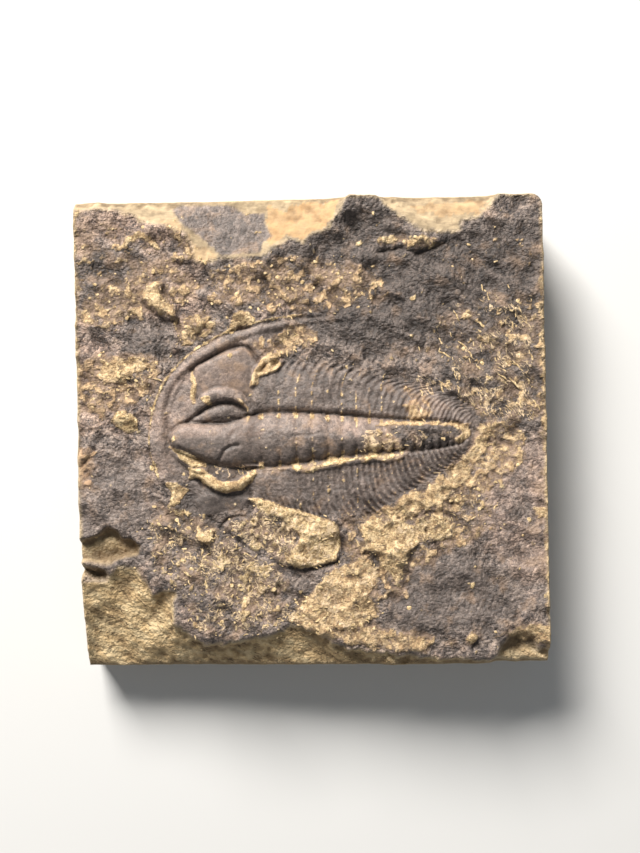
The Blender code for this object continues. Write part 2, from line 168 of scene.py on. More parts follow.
# round ridges: path, heights and half widths evenly along it
ridges = {
    "border": (
        [(-28.5, -10.8), (-31.3, -8.5), (-32.8, -4), (-33, 0), (-32.6, 4), (-31.7, 7),
         (-30.2, 10.2), (-28.3, 12.9), (-26, 15.2), (-23, 17.4), (-19, 19.6), (-15, 21.2),
         (-10, 22.5), (-4, 23.5), (2, 24.1), (8, 24.4), (14, 24.2)],
         (0.35, 0.7, 0.75, 0.85, 0.85, 0.6, 0.4, 0.15), (1.3, 1.9, 2.1, 1.8, 1.5, 1.1, 0.7, 0.5)),
    "upperEye": (
        [(-25.3, 4.4), (-24, 6.4), (-22.3, 7.9), (-20.4, 8.6), (-18.2, 8.7), (-16, 8.2),
         (-14.2, 6.9), (-13, 4.9)], (0.45, 1.0, 1.2, 1.1, 0.7), (0.8, 1.35, 1.5, 1.35, 0.8)),
    "eyeLobe": (
        [(-24.5, 3.3), (-20, 4.8), (-17, 5), (-14.8, 4.2)], (0.3, 0.75, 0.5), (0.7, 1.4, 0.8)),
    "frontRidge": (
        [(-30.1, -2.9), (-27.6, -4.8), (-25.2, -6.4), (-23, -7.4)], (0.3, 0.8, 0.9, 0.6),
        (0.5, 1.0, 1.3, 0.9)),
    "lowerEye": (
        [(-25.6, -7.9), (-23.7, -8.2), (-22, -9.6), (-20.2, -10.8), (-18, -11.2), (-16, -10.8),
         (-14.5, -9.7), (-12.6, -7.9)], (0.6, 1.2, 1.5, 1.25, 0.6), (0.9, 1.25, 1.4, 1.25, 0.8)),
    "leftScrap": (
        [(-46.4, 4.6), (-46, 1.5), (-47.5, -2.1), (-50, -5)], (0.15, 0.6, 0.6), (0.5, 0.9, 1.0)),
    "cheekSeam": (
        [(-12.6, 10.5), (-11.8, 13.5), (-10, 15.8), (-7, 17.2), (-3, 17.8), (0, 19), (0, 20.5)],
        (0.35, 0.5, 0.45, 0.4, 0.2), (0.6, 0.8, 1.0, 1.0, 0.8)),
    "ringKnob": (
        [(-8.9, 14.2), (-9.1, 15.3), (-8.2, 16.2), (-6.9, 16), (-6.2, 15.2), (-6.6, 14.2),
         (-7.9, 13.7), (-9.9, 12.9), (-10.8, 12.7)], (0.4, 0.45, 0.4), (0.45, 0.5, 0.5)),
}

# furrows and cracks: path, depth, half width
furrows = {
    "borderFurrow": (
        [(-25.5, 14), (-28, 12), (-29.5, 10), (-30.4, 8), (-31.1, 5.5), (-30.9, 3), (-30.2, 1)],
        0.45, 0.6),
    "cheekGroove": (
        [(-25.5, 14.1), (-24, 15.3), (-22, 16.3), (-20, 17.3), (-18, 18.1), (-16, 18.7),
         (-14.5, 18.9), (-13.5, 18.6), (-12.5, 17.6), (-11.2, 15.8)], 0.75, 0.38),
    "suture": ([(-25, 14), (-25.3, 12), (-25, 10), (-24.6, 8), (-24.8, 6.6)], 0.2, 0.3),
    "eyeGroove": (
        [(-26.5, 3), (-24, 4.8), (-22, 6), (-20, 6.7), (-18, 7), (-16.5, 6.8), (-15, 6), (-14, 5)],
        0.65, 0.38),
    "eyeCrease": (
        [(-29.5, 1), (-28, 2.4), (-26, 2.8), (-22, 2.4), (-18, 2.5), (-16, 3.2), (-13.5, 4)],
        0.55, 0.4),
    "glabellaSide": ([(-28, -2.7), (-24, -4.8), (-20, -6), (-16, -6.9), (-12, -7.5)], 0.45, 0.5),
    "furrowOne": ([(-15.6, -2.2), (-17.4, -2.5), (-18.7, -3.3), (-19.6, -5.2)], 0.5, 0.35),
    "furrowTwo": ([(-16.6, 0.4), (-17.4, -0.8), (-17.2, -2.2)], 0.3, 0.6),
    "furrowThree": ([(-19, 1), (-17, 2.2)], 0.12, 0.5),
    "medianCrack": ([(-4.5, -0.3), (-2, -0.4), (0.5, -0.2), (2, 0.2), (3, 0)], 0.2, 0.2),
    "lowerCheekCrack": ([(-26, -9.5), (-24.2, -9.6), (-23.6, -11)], 0.5, 0.35),
    "flakeCrack": (
        [(-20, -19.8), (-19.3, -18.8), (-18, -17.8), (-16, -17.3), (-14, -17.6), (-12.7, -18.8)],
        0.55, 0.28),
    "flakeUndercut": ([(-3, -29), (0, -28.9), (3, -28.1), (5, -27.5)], 0.6, 0.35),
    "spineGap": ([(-17, 22), (-15, 22.4), (-13, 22.7)], 0.7, 0.3),
    "farSpineGap": ([(-2, 24.8), (2.5, 24.9)], 0.4, 0.25),
    "cornerUndercut": ([(-31.1, 40), (-29.5, 37.7), (-28, 37), (-25, 36.7)], 0.3, 0.3),
    "topUndercut": (
        [(14.7, 38.4), (17, 38.7), (19.5, 39.2), (23, 37.9), (27, 39.2), (29, 40)], 0.6, 0.35),
    "scrapGroove": ([(-45, 4.4), (-44.6, 1.2), (-46, -2.6), (-49, -6)], 0.25, 0.35),
    "lowCrack": ([(5.2, -45.6), (8.3, -45.3), (12, -46), (15, -46.2), (15.7, -48)], 0.6, 0.35),
    "bodyGap": ([(10, -26), (12.5, -26)], 0.6, 0.35),
}

knobs = [  # middle x, middle y, radius, height
    (-38.5, 41.5, 1.3, 0.8), (5, 26.3, 1.1, 0.7), (13.5, 29.7, 0.9, 0.6), (1, 33, 1.1, 0.7),
    (2.5, 37.5, 0.8, 0.5), (33, -44.5, 1.4, 0.8), (-40.1, 2.9, 2.3, 0.7), (-33, 30, 2.0, 0.6),
    (30, 20.5, 1.0, 0.4), (3.5, 2.3, 0.6, 0.15), (0.3, 3.4, 0.5, 0.15), (-6.7, 3.2, 0.6, 0.15),
]

# the ringed middle lobe, and what both ribbed flanks share
thorax = {
    "upperX": [-12, -8, -4, 0, 4, 8, 12, 16, 20, 26, 31, 33.5],
    "upperY": [4.3, 4.5, 4.4, 4.2, 3.9, 3.5, 3.0, 2.6, 2.3, 2.0, 1.6, 0.2],
    "lowerX": [-12, -8, 0, 8, 12, 20, 26, 32, 33.5],
    "lowerY": [-7.0, -6.8, -5.7, -4.7, -4.3, -4.0, -3.6, -2.7, -1.0],
    "lobeX": [-13, -11, 0, 20, 31, 34],
    "lobe": [2.0, 2.6, 2.7, 2.2, 1.4, 0.5],
    "start": -13.5, "end": 33.5, "bulge": 0.6, "bulgePower": 0.7, "bulgeOff": 0.4,
    "ringMiddle": 0.3, "firstRing": -10.7, "firstPitch": 3.75, "pitchLoss": 0.16, "rings": 18,
    "flankHeight": 1.0, "flankFall": 0.8, "flankFoot": (-0.02, 0.14), "flankEnd": (1.1, 0.92),
    "tipLength": 0.06, "tipPower": 4.5, "tipStrength": 0.5, "ribWear": 0.7,
    "slantX": [4, 14, 33], "tipX": [-12, 12, 22, 34], "ribX": [-14, 0, 10, 22, 34],
}
flanks = {  # the one towards +Y and the one towards -Y
    1: {
        "outerX": [-12, -6, -2, 2, 6, 10, 14, 18, 24, 30, 34, 36],
        "outer": [15.5, 15, 15.2, 14.8, 14, 13.2, 12.2, 11.2, 10, 8, 6, 2],
        "slant": [0, 0.15, 0.5], "tip": [1.8, 2.4, 4.2, 5.5],
        "pitch": [1.8, 1.7, 1.5, 1.1, 0.8], "strength": [0.15, 0.2, 0.3, 0.7, 0.85],
    },
    -1: {
        "outerX": [-12, -9, -6, -2, 3, 10, 15, 17, 20, 24, 29, 33, 35],
        "outer": [-14, -14.5, -15.5, -17, -18, -17.5, -16.5, -15, -13.5, -11, -8, -4.8, -2],
        "slant": [0, 0.12, 0.5], "tip": [1.4, 2.0, 2.4, 2.6],
        "pitch": [1.4, 1.2, 1.2, 1.15, 0.95], "strength": [0.12, 0.3, 0.7, 0.9, 0.85],
    },
}

# ochre crust: outline, how full, how orange
crusts = {
    "leafFlake": (plates["leafFlake"][0], 0.5, 0.1),
    "flakeRim": (
        [(-14, -13.2), (-9, -14.4), (-5, -15.8), (0, -17.3), (3, -18.3), (4.8, -20), (6, -24),
         (4.5, -27.5), (-3, -29), (-6, -27), (-3, -22), (-6, -18.5), (-12, -16)], 1.0, 0.1),
    "leftLump": (plates["leftLump"][0], 1.1, 0.15),
    "lowerBody": (plates["lowerBody"][0], 0.8, 0.2),
    "axisFill": (
        [(-12.5, -7), (-8, -6.8), (-4, -6.2), (0, -5.6), (8, -4.7), (14, -3.9), (21, -4.4),
         (18, -6.7), (13.5, -6.2), (8, -7.0), (2, -7.9), (-2, -8.4), (-5, -7.9),
         (-12, -7.9)], 0.66, 0.0),
    "tailBand": (plates["tailBand"][0], 0.8, 0.3),
    "tailFan": (
        [(24, -17), (30, -9), (34, -3), (35, 1), (40, 2.5), (46, 0), (45, -7), (38, -13),
         (30, -19)], 0.56, 0.4),
    "axisTail": (
        [(9.5, -3.9), (11, -1), (12.5, 1.5), (14.4, 1.9), (16.5, 0.1), (18.5, -1.9), (21, -4),
         (16, -4.3), (12, -4.4)], 0.56, 0.2),
    "axisCore": (head["core"], 0.32, 0.1),
    "axisTop": (
        [(13.5, 1.6), (16, 2.5), (20, 2.4), (26, 2.0), (31, 1.7), (33, 1.0), (33.8, -1), (31.5, -3),
         (30.1, -2), (31.9, -0.2), (30.6, 0.9), (27, 1.3), (21.2, 1.4), (16.3, 1.3)], 0.84, 0.25),
    "flankPatch": (
        [(17.8, 9.4), (20, 10), (25.5, 9.4), (25.8, 6), (26, 2.6), (19.3, 2.6),
         (19.6, 6)], 0.5, 0.7),
    "flankPatchLow": ([(19.4, 2.5), (19.6, 5.4), (22.5, 5.2), (24.8, 4), (25.4, 2.4)], 0.8, 0.35),
    "cheekSeam": (
        [(-13, 10), (-12.2, 13.5), (-10.4, 16.5), (-9, 17.6), (-7, 17.2), (-6, 14.5), (-8, 13.2),
         (-10.5, 12.2), (-11.4, 10.5)], 0.86, 0.25),
    "seamFan": (
        [(-10, 17), (-8.5, 20), (-6, 22.5), (-2, 23.5), (1.5, 22), (2, 19), (-2, 17),
         (-6.5, 16.6)], 0.6, 0.45),
    "seamCorner": ([(-13, 19.5), (-12, 21), (-9.5, 20.6), (-9.5, 18), (-11, 18.4)], 0.66, 0.45),
    "suture": (
        [(-25.3, 14), (-24.7, 14), (-24.2, 10), (-24.2, 6.6), (-25.2, 6.6),
         (-25.8, 10)], 0.82, 0.1),
    "eyeSpot": ([(-23.4, 8), (-21.6, 8.2), (-21.2, 6.8), (-22.6, 6.6)], 0.95, 0.1),
    "eyeStreak": (
        [(-16, 8), (-14.6, 7.4), (-13.2, 5.4), (-13.2, 4.4), (-14, 5.6), (-15.4, 7)], 0.9, 0.2),
    "browCorner": ([(-15, 3.6), (-14.2, 4.4), (-12.7, 4), (-13.5, 3), (-14, 1.9)], 0.8, 0.1),
    "frontRidge": (
        [(-30.4, -2), (-28, -3.1), (-25, -4.5), (-22.4, -5.9), (-22.6, -7), (-26, -6.7),
         (-28, -5.2)], 1.05, 0.1),
    "lowerEye": (
        [(-26.5, -7), (-24, -7.2), (-22, -8.6), (-20, -9.8), (-18, -10.2), (-16, -9.9), (-14, -8.6),
         (-12.3, -7.3), (-11.8, -8.4), (-13.4, -10.6), (-16, -12), (-19, -12.4), (-22, -11),
         (-24, -9.5), (-26.2, -9.2)], 1.15, 0.15),
    "underEye": (
        [(-22, -6), (-16, -6.8), (-12, -7.4), (-13, -8.4), (-18, -9.6), (-21, -8.8)], 0.42, 0.1),
    "chinPatch": (
        [(-32, -9.6), (-29, -9.8), (-26.5, -11.6), (-27.5, -13), (-28.5, -14.5), (-31, -15.5),
         (-30.5, -12)], 0.85, 0.2),
    "chinTail": ([(-31, -15), (-26, -15.8), (-25, -17), (-27.5, -18.5), (-31, -17)], 0.7, 0.1),
    "upperFlake": (
        [(14.5, 41), (16, 42.4), (18, 42.3), (20, 41.6), (23.5, 41.8), (28, 41), (29, 40.2),
         (27, 39.6), (25, 38.7), (21, 39), (19, 40), (17, 39.3), (14.7, 39)], 0.76, 0.2),
    "hook": (
        [(-39.8, 40), (-38.6, 42.8), (-36, 43.6), (-33.4, 42.2), (-31.4, 39.8), (-32.2, 39.4),
         (-34, 41), (-36, 42.2), (-37.6, 41.4), (-38.4, 39.8)], 0.86, 0.2),
    "rimOchre": (
        [(-31, 45.6), (-28.5, 45.8), (-26, 43.2), (-23.5, 39.7), (-20.5, 38.4), (-19.5, 36.8),
         (-22.5, 36), (-25.5, 37), (-27, 40), (-29, 42.5)], 0.68, 0.4),
    "cornerFlake": (
        [(-40, 42), (-37, 43.8), (-34.5, 44), (-32, 42.5), (-30.5, 40.3), (-28.5, 38.2),
         (-25, 37.6), (-25.2, 40), (-27, 42), (-30, 43.2), (-35, 45)], 0.42, 0.25),
    "leftLedge": (plates["leftLedge"][0], 0.8, 0.3),
    "crumbArc": (
        [(-51, 29), (-47, 26.5), (-44, 25), (-40, 25.5), (-36.5, 28), (-36, 26.5), (-38.5, 24),
         (-43.5, 22), (-48, 24), (-51, 25.5)], 0.62, 0.35),
    "ledgeStep": ([(-28.7, 26), (-27.5, 26), (-27, 22), (-27.6, 18.5), (-28.5, 18)], 0.72, 0.25),
    "underLedge": (
        [(-27.8, 18.5), (-27.5, 26), (-22, 27), (-18, 24), (-22, 21), (-26, 18.2)], 0.58, 0.3),
    "spinePatch": ([(-17, 22.6), (-13, 23.2), (-11.5, 25), (-13, 26.4), (-16.6, 25.6)], 0.85, 0.3),
    "leftGround": (
        [(-52, 5), (-46, 4), (-38, 5.5), (-33, 9.5), (-30, 14), (-34, 17.5), (-44, 18.5),
         (-52, 16)], 0.52, 0.6),
    "leftGroundCore": (
        [(-46, 12), (-41, 11), (-36.5, 12.5), (-34, 15.5), (-38, 17.5), (-44.5, 17)], 0.8, 0.3),
    "leftRing": (
        [(-42.9, 3), (-42, 5.2), (-39.8, 5.8), (-37.4, 4.4), (-37.4, 1.2), (-39.4, 0.4),
         (-41.2, 1.8)], 0.84, 0.1),
    "leftStain": ([(-52, -1), (-47, -1.5), (-45.5, -6), (-47, -11), (-52, -11)], 0.58, 0.9),
    "crumbBandLeft": (
        [(-48, 31), (-36, 38), (-26, 36.5), (-22, 31), (-30, 26), (-44, 22.5),
         (-50, 25)], 0.5, 0.4),
    "crumbBandMiddle": (
        [(-22, 36), (-8, 38), (6, 38), (16, 34), (18, 28), (6, 25.5), (-10, 26),
         (-22, 27)], 0.5, 0.5),
    "needlesRight": (
        [(22, 16), (26, 24), (33, 28), (40, 31), (52, 31), (52, 2), (38, 1.5), (33, 9),
         (27, 14)], 0.38, 0.25),
    "needlesEdge": ([(36, 20), (41, 27), (52, 30), (52, 4), (42, 3), (38, 12)], 0.44, 0.35),
    "needleBand": (
        [(21, 9), (24, 11.5), (34, 10), (42, 8.5), (52, 9), (52, 2), (42, 1), (36, 2), (33, 6),
         (28, 8)], 0.46, 0.4),
    "threadsLow": (
        [(-36, -17), (-26, -15), (-20, -20), (-6, -29), (-3, -34), (-6, -41), (-18, -44),
         (-27, -42), (-30, -32), (-35, -30)], 0.4, 0.15),
    "threadCore": (
        [(-27, -25), (-20, -25), (-9, -27), (-10, -31), (-12, -38), (-15, -38), (-17, -30),
         (-25, -29)], 0.52, 0.1),
    "lowerMiddle": (
        [(3, -29), (8, -27.5), (13, -27), (14.5, -31), (12, -35), (14, -38), (9, -43), (0, -42),
         (-6, -41), (-4, -37), (0, -33)], 0.79, 0.35),
    "lowStain": (
        [(-8, -40), (0, -40), (10, -41), (20, -42.5), (26, -44), (24, -48), (12, -47),
         (0, -43.5)], 0.66, 0.35),
    "bodyStain": (
        [(6, -18), (12, -16), (34, -16), (40, -21), (30, -26), (22, -30), (20, -36), (12, -36),
         (6, -27)], 0.5, 0.45),
    "underHead": ([(-33, -13), (-26, -17), (-17, -20), (-22, -26), (-34, -24)], 0.42, 0.3),
    "topStain": ([(-50, 47), (-40, 46), (-30, 43), (-24, 36), (-30, 33), (-50, 30)], 0.4, 0.35),
    "creamStain": (
        [(-9, 48), (7, 49.5), (5, 46), (3.5, 43.2), (1, 42.6), (-1.5, 41), (-4.5, 41.8), (-8, 40),
         (-9, 45.5)], 0.5, 0.85),
    "creamBrown": (
        [(21, 48.4), (30, 49.4), (39, 49.2), (38, 46.8), (30, 45.6), (23, 46.6)], 0.45, 0.55),
    "farRight": ([(24, 38), (34, 42), (50, 42), (50, 34), (36, 33)], 0.33, 0.5),
    "rightLow": ([(28, -9), (36, -12), (40, -17), (36, -21), (31, -21), (29, -16)], 0.42, 0.1),
    "rightChipBit": ([(46.5, -17), (48, -16.4), (52, -17.5), (52, -19.5), (48, -19)], 0.9, 0.3),
    "rightCorner": (
        [(38, -44.5), (41, -43), (46, -41.5), (52, -41), (52, -47), (46, -46),
         (42, -44.6)], 0.8, 0.3),
    "lowRidge": ([(31.6, -44.5), (33, -43), (34.6, -44.2), (33.2, -46)], 1.0, 0.2),
    "leftEdge": ([(-52, 49), (-48.6, 49), (-48.8, 28), (-49.2, 6), (-52, 6)], 0.62, 0.2),
    "rightEdge": ([(48.9, 46), (52, 46), (52, -40), (49.2, -40), (48.6, 8)], 0.6, 0.25),
}

# how thickly threads, needles and crumbs of ochre lie in those areas
bitAreas = {
    "threads": {
        "threadsLow": 0.46, "threadCore": 0.72, "leafFlake": 0.66, "lowerMiddle": 0.5,
        "leftGround": 0.3, "rightLow": 0.35, "underHead": 0.4, "lowerBody": 0.4, "underEye": 0.8,
        "axisCore": 0.4, "axisTail": 0.6, "seamFan": 0.3,
    },
    "needles": {"needlesRight": 0.36, "needlesEdge": 0.56, "needleBand": 0.56, "flankPatch": 0.3},
    "crumbs": {
        "crumbBandLeft": 0.5, "crumbBandMiddle": 0.5, "crumbArc": 1.0, "leftGround": 0.7,
        "leftGroundCore": 0.8, "threadsLow": 0.3, "lowerMiddle": 0.6, "needlesRight": 0.15,
        "cheekSeam": 0.5, "underLedge": 0.8, "leftStain": 0.5, "tailBand": 0.5, "cornerFlake": 0.5,
        "rightLow": 0.5, "tailFan": 0.4, "rimOchre": 0.8,
    },
}

# what lies on bare skin, how the crusts' outlines wander, and which of them have firm edges
crustLook = {
    "bare": {"crust": 0.26, "crumbs": 0.04}, "shake": [(1.1, 3.2, 4, (31.4, 47.9))],
    "firm": 0.8, "firmEdge": (0.5, 0.4), "softEdge": (1.6, 1.0),
    "patch": (0.5, 0.66), "patchRough": 0.42, "ribDots": 0.7,
}

# ochre in the ring furrows: how full and over which x and y, then dots, teeth and a border line
ringCrust = {
    "lines": [
        (0.78, (-11, -9, 14, 22), (2.5, 4.5, 12, 15)),
        (0.72, (-5, -2, 10, 14), (-17, -14, -8, -6.5)),
        (0.56, (-10, -8, 12, 16), (-6, -3, 1, 3.5))],
    "lineWidth": 0.07, "dots": 1.05, "dotWidth": 0.15, "dotsX": (-12, -11, 18, 22),
    "teeth": 0.95, "toothWidth": 0.12, "teethX": (-12, -11, 12, 15),
    "border": 0.64, "borderOff": 1.6, "borderWidth": 0.5,
}

# smooth skin where the stone is bare and even
smoothAreas = {
    "rightLow": [(33, -5), (52, -2), (52, -38), (42, -38), (38, -28), (34, -18)],
    "lowRight": [(22, -27), (34, -26), (40, -38), (32, -43), (18, -42), (16, -36)],
    "left": [(-52, -4), (-36, -2), (-34, -9), (-33, -14), (-37, -20), (-52, -20)],
    "rimPatch": [
        (-29, 48.4), (-27.9, 49.5), (-15.5, 49.1), (-13.4, 47.3), (-9.2, 47.3), (-9.2, 45.2),
        (-7.8, 42.4), (-10.6, 38.5), (-19, 38.2), (-23.3, 42.4), (-26.9, 45.2)],
}

# tone of the skin: 0 is dark and bluish, 1 is light and warm brown
toneAreas = {
    "topLeft": ([(-55, 55), (-20, 55), (-22, 36), (-24, 24), (-34, 16), (-55, 18)], 0.78),
    "topLeftDark": ([(-49, 27.5), (-38, 28), (-36, 34), (-37, 39.5), (-44, 41), (-49, 38)], 0.12),
    "hollowDark": (
        [(-41, 16.5), (-38, 24), (-31, 24.5), (-29, 20), (-31, 16.5), (-36, 15.5)], 0.15),
    "rimPatch": (smoothAreas["rimPatch"], 0.28),
    "rimBand": ([(-12, 42), (2, 44), (8, 50), (14, 50), (18, 44), (12, 36), (-12, 35)], 0.15),
    "rightTop": (
        [(14, 40), (55, 46), (55, 26), (34, 22), (12, 15), (4, 20), (-4, 24), (8, 30)], 0.02),
    "needles": ([(24, 20), (34, 28), (55, 30), (55, 2), (36, 3), (28, 8)], 0.14),
    "left": ([(-55, -6), (-36, -6), (-32, -12), (-30, -30), (-55, -30)], 0.4),
    "leftGround": ([(-55, 18), (-32, 16), (-33, 4), (-55, 0)], 0.7),
    "rightLow": ([(34, -3), (55, 0), (55, -30), (44, -34), (36, -22)], 0.72),
    "lowRight": ([(17, -30), (22, -26), (34, -26), (44, -36), (36, -44), (18, -44)], 0.22),
    "threadsLow": (
        [(-36, -16), (-20, -20), (-8, -28), (-3, -34), (-5, -44), (-27, -46), (-36, -32)], 0.4),
    "upperFlank": ([(-13, 5), (10, 4), (20, 3), (20, 11), (0, 15), (-12, 15)], 0.3),
    "lowerFlank": (
        [(-13, -8), (12, -7), (32, -3), (34, -6), (16, -18), (-6, -19), (-14, -12)], 0.34),
    "underEye": (crusts["underEye"][0], 0.0),
    "mouthPlate": ([(-31, -12), (-26, -9), (-14, -12.5), (-15, -17), (-24, -18), (-30, -20)], 0.05),
    "cheek": (head["cheek"], 0.6),
    "eyeLobe": ([(-24.5, 3), (-20, 6), (-16, 6.2), (-13.8, 4.4), (-18, 2.6)], 0.2),
    "border": (
        [(-34, -8), (-33.5, 4), (-29, 13), (-20, 20), (-22, 17), (-30, 8), (-31.5, 0),
         (-28, -8)], 0.7),
}
# painted shade: the lobe's tone drops from its upper half to its lower half, which faces away from
# the light; its core near the tail is dark stone
lobeToneAndShade = {"low": 0.24, "rise": 0.4, "core": 0.0, "down": 5.0, "waves": 1.1}

# the rock itself: lumps, streaks and facets have a height in mm, then what their noise takes
rockLook = {
    "swell": 0.55, "swellSize": 17,
    "shake": [(0.55, 2.6, 2, (11.7, 23.1)), (0.22, 0.9, 2, (12.9, 24.3))],
    # the rim and corner light strengths on the next line set a painted highlight along the crest and
    # the broken edge
    "even": 0.4, "rimPatchEven": 0.6, "cream": (30, 35), "rimHighlight": 0.95, "cornerHighlight": 0.7,
    "evenCalm": 0.9, "rimCalm": 0.6, "cornerCalm": 0.65,
    "lumps": [(0.75, 5.2, 2, 61.0), (0.15, 0.95, 2, 72.0)],
    "streaks": [(0.22, -38, 3.5, 1.0, 77.0)],
    "facets": [(0.85, 3.4, 8, 1.8, -25), (0.4, 1.4, 9, 1.6, -30)],
    "freshGrain": 0.12, "crustHeight": 0.2, "crustRough": 0.12,
}


def ramp(low, high, values):
    t = np.clip((values - low) / (high - low), 0, 1)
    return t * t * (3 - 2 * t)


def window(values, start, full, fullEnd, end):  # 1 between full and fullEnd, 0 past start and end
    return ramp(start, full, values) * ramp(end, fullEnd, values)


def dome(across, power=0.5):  # a round profile, 1 in the middle and 0 at the sides
    return np.clip(1 - across ** 2, 0, 1) ** power


def groove(distance, halfWidth):
    return np.exp(-(distance / halfWidth) ** 2)


def followPath(x, y, points):  # distance from a path, and the share of it passed
    nearest = np.full(x.shape, np.inf)
    share = np.zeros(x.shape)
    for k, ((ax, ay), (bx, by)) in enumerate(zip(points, points[1:])):
        lengthSquared = (bx - ax) ** 2 + (by - ay) ** 2
        t = np.clip(((x - ax) * (bx - ax) + (y - ay) * (by - ay)) / lengthSquared, 0, 1)
        distance = np.hypot(x - ax - t * (bx - ax), y - ay - t * (by - ay))
        share = np.where(distance < nearest, (k + t) / (len(points) - 1), share)
        nearest = np.minimum(nearest, distance)
    return nearest, share


def alongPath(share, values):
    return np.interp(share, np.linspace(0, 1, len(values)), values)


def depthInside(x, y, outline):  # distance from an outline, positive inside it
    inside = np.zeros(x.shape, bool)
    closed = outline + outline[:1]
    for (ax, ay), (bx, by) in zip(closed, closed[1:]):
        if ay == by:
            continue
        crosses = (ay > y) != (by > y)
        inside ^= crosses & (x < (bx - ax) * (y - ay) / (by - ay) + ax)
    distance = followPath(x, y, closed)[0]
    return np.where(inside, distance, -distance)


def turned(x, y, degrees):
    c, s = math.cos(math.radians(degrees)), math.sin(math.radians(degrees))
    return x * c + y * s, y * c - x * s


def rockNoise(x, y, size, octaves, seed):
    flat = zip((x / size).flat, (y / size).flat)
    values = [noise.fractal(Vector((px, py, seed)), 0.9, 2.0, octaves) for px, py in flat]
    return np.array(values).reshape(x.shape)


def rockStreaks(x, y, angle, length, width, seed):  # noise drawn out along one direction
    u, v = turned(x, y, angle)
    return rockNoise(u / length, v / width, 1.0, 2, seed)


# a facet's place in its cell, and how it steps, tilts and scoops, as shares of its size
facet = {"cells": 64, "jitter": 0.9, "step": 0.35, "tilt": 0.8, "scoop": 0.4}


def rockFacets(x, y, size, seed, stretch, lean):  # scooped faces that meet in sharp ridges
    u, v = turned(x, y, lean)
    u = u / stretch
    cells = facet["cells"]
    table = np.random.default_rng(seed).random((5, cells, cells)) - 0.5
    cellU, cellV = np.floor(u / size), np.floor(v / size)
    lowest = np.full(x.shape, np.inf)
    for stepU in (-1, 0, 1):
        for stepV in (-1, 0, 1):
            i = (cellU + stepU).astype(int) % cells
            j = (cellV + stepV).astype(int) % cells
            fromU = u - (cellU + stepU + 0.5 + facet["jitter"] * table[0, i, j]) * size
            fromV = v - (cellV + stepV + 0.5 + facet["jitter"] * table[1, i, j]) * size
            face = facet["tilt"] * (table[2, i, j] * fromU + table[3, i, j] * fromV)
            face += facet["step"] * size * table[4, i, j]
            lowest = np.minimum(lowest, face + facet["scoop"] * (fromU ** 2 + fromV ** 2) / size)
    return lowest


def shaken(x, y, layers):  # moves x and y by noise, so that outlines wander
    moved = (x, y)
    for amount, size, octaves, seeds in layers:
        moved = [line + amount * rockNoise(x, y, size, octaves, seed)
                 for line, seed in zip(moved, seeds)]
    return moved


def depthWandering(x, y, rough, wander, outline):  # inside an outline that wanders only partly
    return depthInside(x + wander * (rough[0] - x), y + wander * (rough[1] - y), outline)


def shareToEdge(past, gap, least):  # 0 on a break's line, near 1 at the slab's edge
    past = np.maximum(past, 0)
    return past / (past + np.maximum(gap, 0) + least)


def upperRim(x, y):
    north = depthInside(x, y, rim["crest"] + rim["close"])
    crest = np.interp(x, rim["heightX"], rim["height"])
    share = shareToEdge(north, halfY - y, rim["least"])
    return crest * ramp(-rim["foot"], 0, north) - rim["edgeDrop"] * share, north


def brokenCorner(x, y):
    f = fracture
    below = depthInside(x, y, f["line"] + f["close"])
    share = shareToEdge(below, halfY + y, f["least"])
    fall = np.interp(x, f["depthX"], f["depth"]) * share ** f["curve"]
    drop = f["step"] * ramp(-f["stepWidth"], f["stepWidth"], below) + fall
    drop -= ramp(0, f["lumpFade"], below) * f["lumps"] * rockNoise(x, y, f["lumpSize"], 2, 19.6)
    faces = sum(height * rockFacets(x, y, *sizes) for height, *sizes in f["facetSizes"])
    return ramp(0, f["facetFade"], below) * f["facets"] * faces - drop, below


def ringTurns(x):  # counts rings from the head; whole numbers lie on the furrows between them
    edges = [thorax["firstRing"]]
    for k in range(thorax["rings"]):
        edges.append(edges[-1] + thorax["firstPitch"] - thorax["pitchLoss"] * k)
    return np.interp(x, edges, range(len(edges)))


def ribTurns(x, pitches):  # ribs passed since the head, at a pitch that shrinks towards the tail
    along, step = np.linspace(-20, 40, 601, retstep=True)
    passed = np.cumsum(step / np.interp(along, thorax["ribX"], pitches))
    return np.interp(x, along, passed)


def lobeTop(x):
    return np.interp(x, thorax["upperX"], thorax["upperY"])


def lobeBottom(x):
    return np.interp(x, thorax["lowerX"], thorax["lowerY"])


def axialLobe(x, y):
    t = thorax
    bulge = t["bulge"] * np.abs(np.sin(np.pi * ringTurns(x))) ** t["bulgePower"]
    top, bottom = lobeTop(x), lobeBottom(x) - bulge + t["bulgeOff"]
    across = (2 * y - top - bottom) / (top - bottom)
    onAxis = window(x, t["start"] - 5, t["start"] + 3, t["end"] - 2.5, t["end"])
    height = np.interp(x, t["lobeX"], t["lobe"])
    least = t["ringMiddle"]
    ringDepth = np.where(np.abs(across) < 1, least + (1 - least) * across ** 2, 0)
    return height * dome(across) * onAxis, onAxis * ringDepth


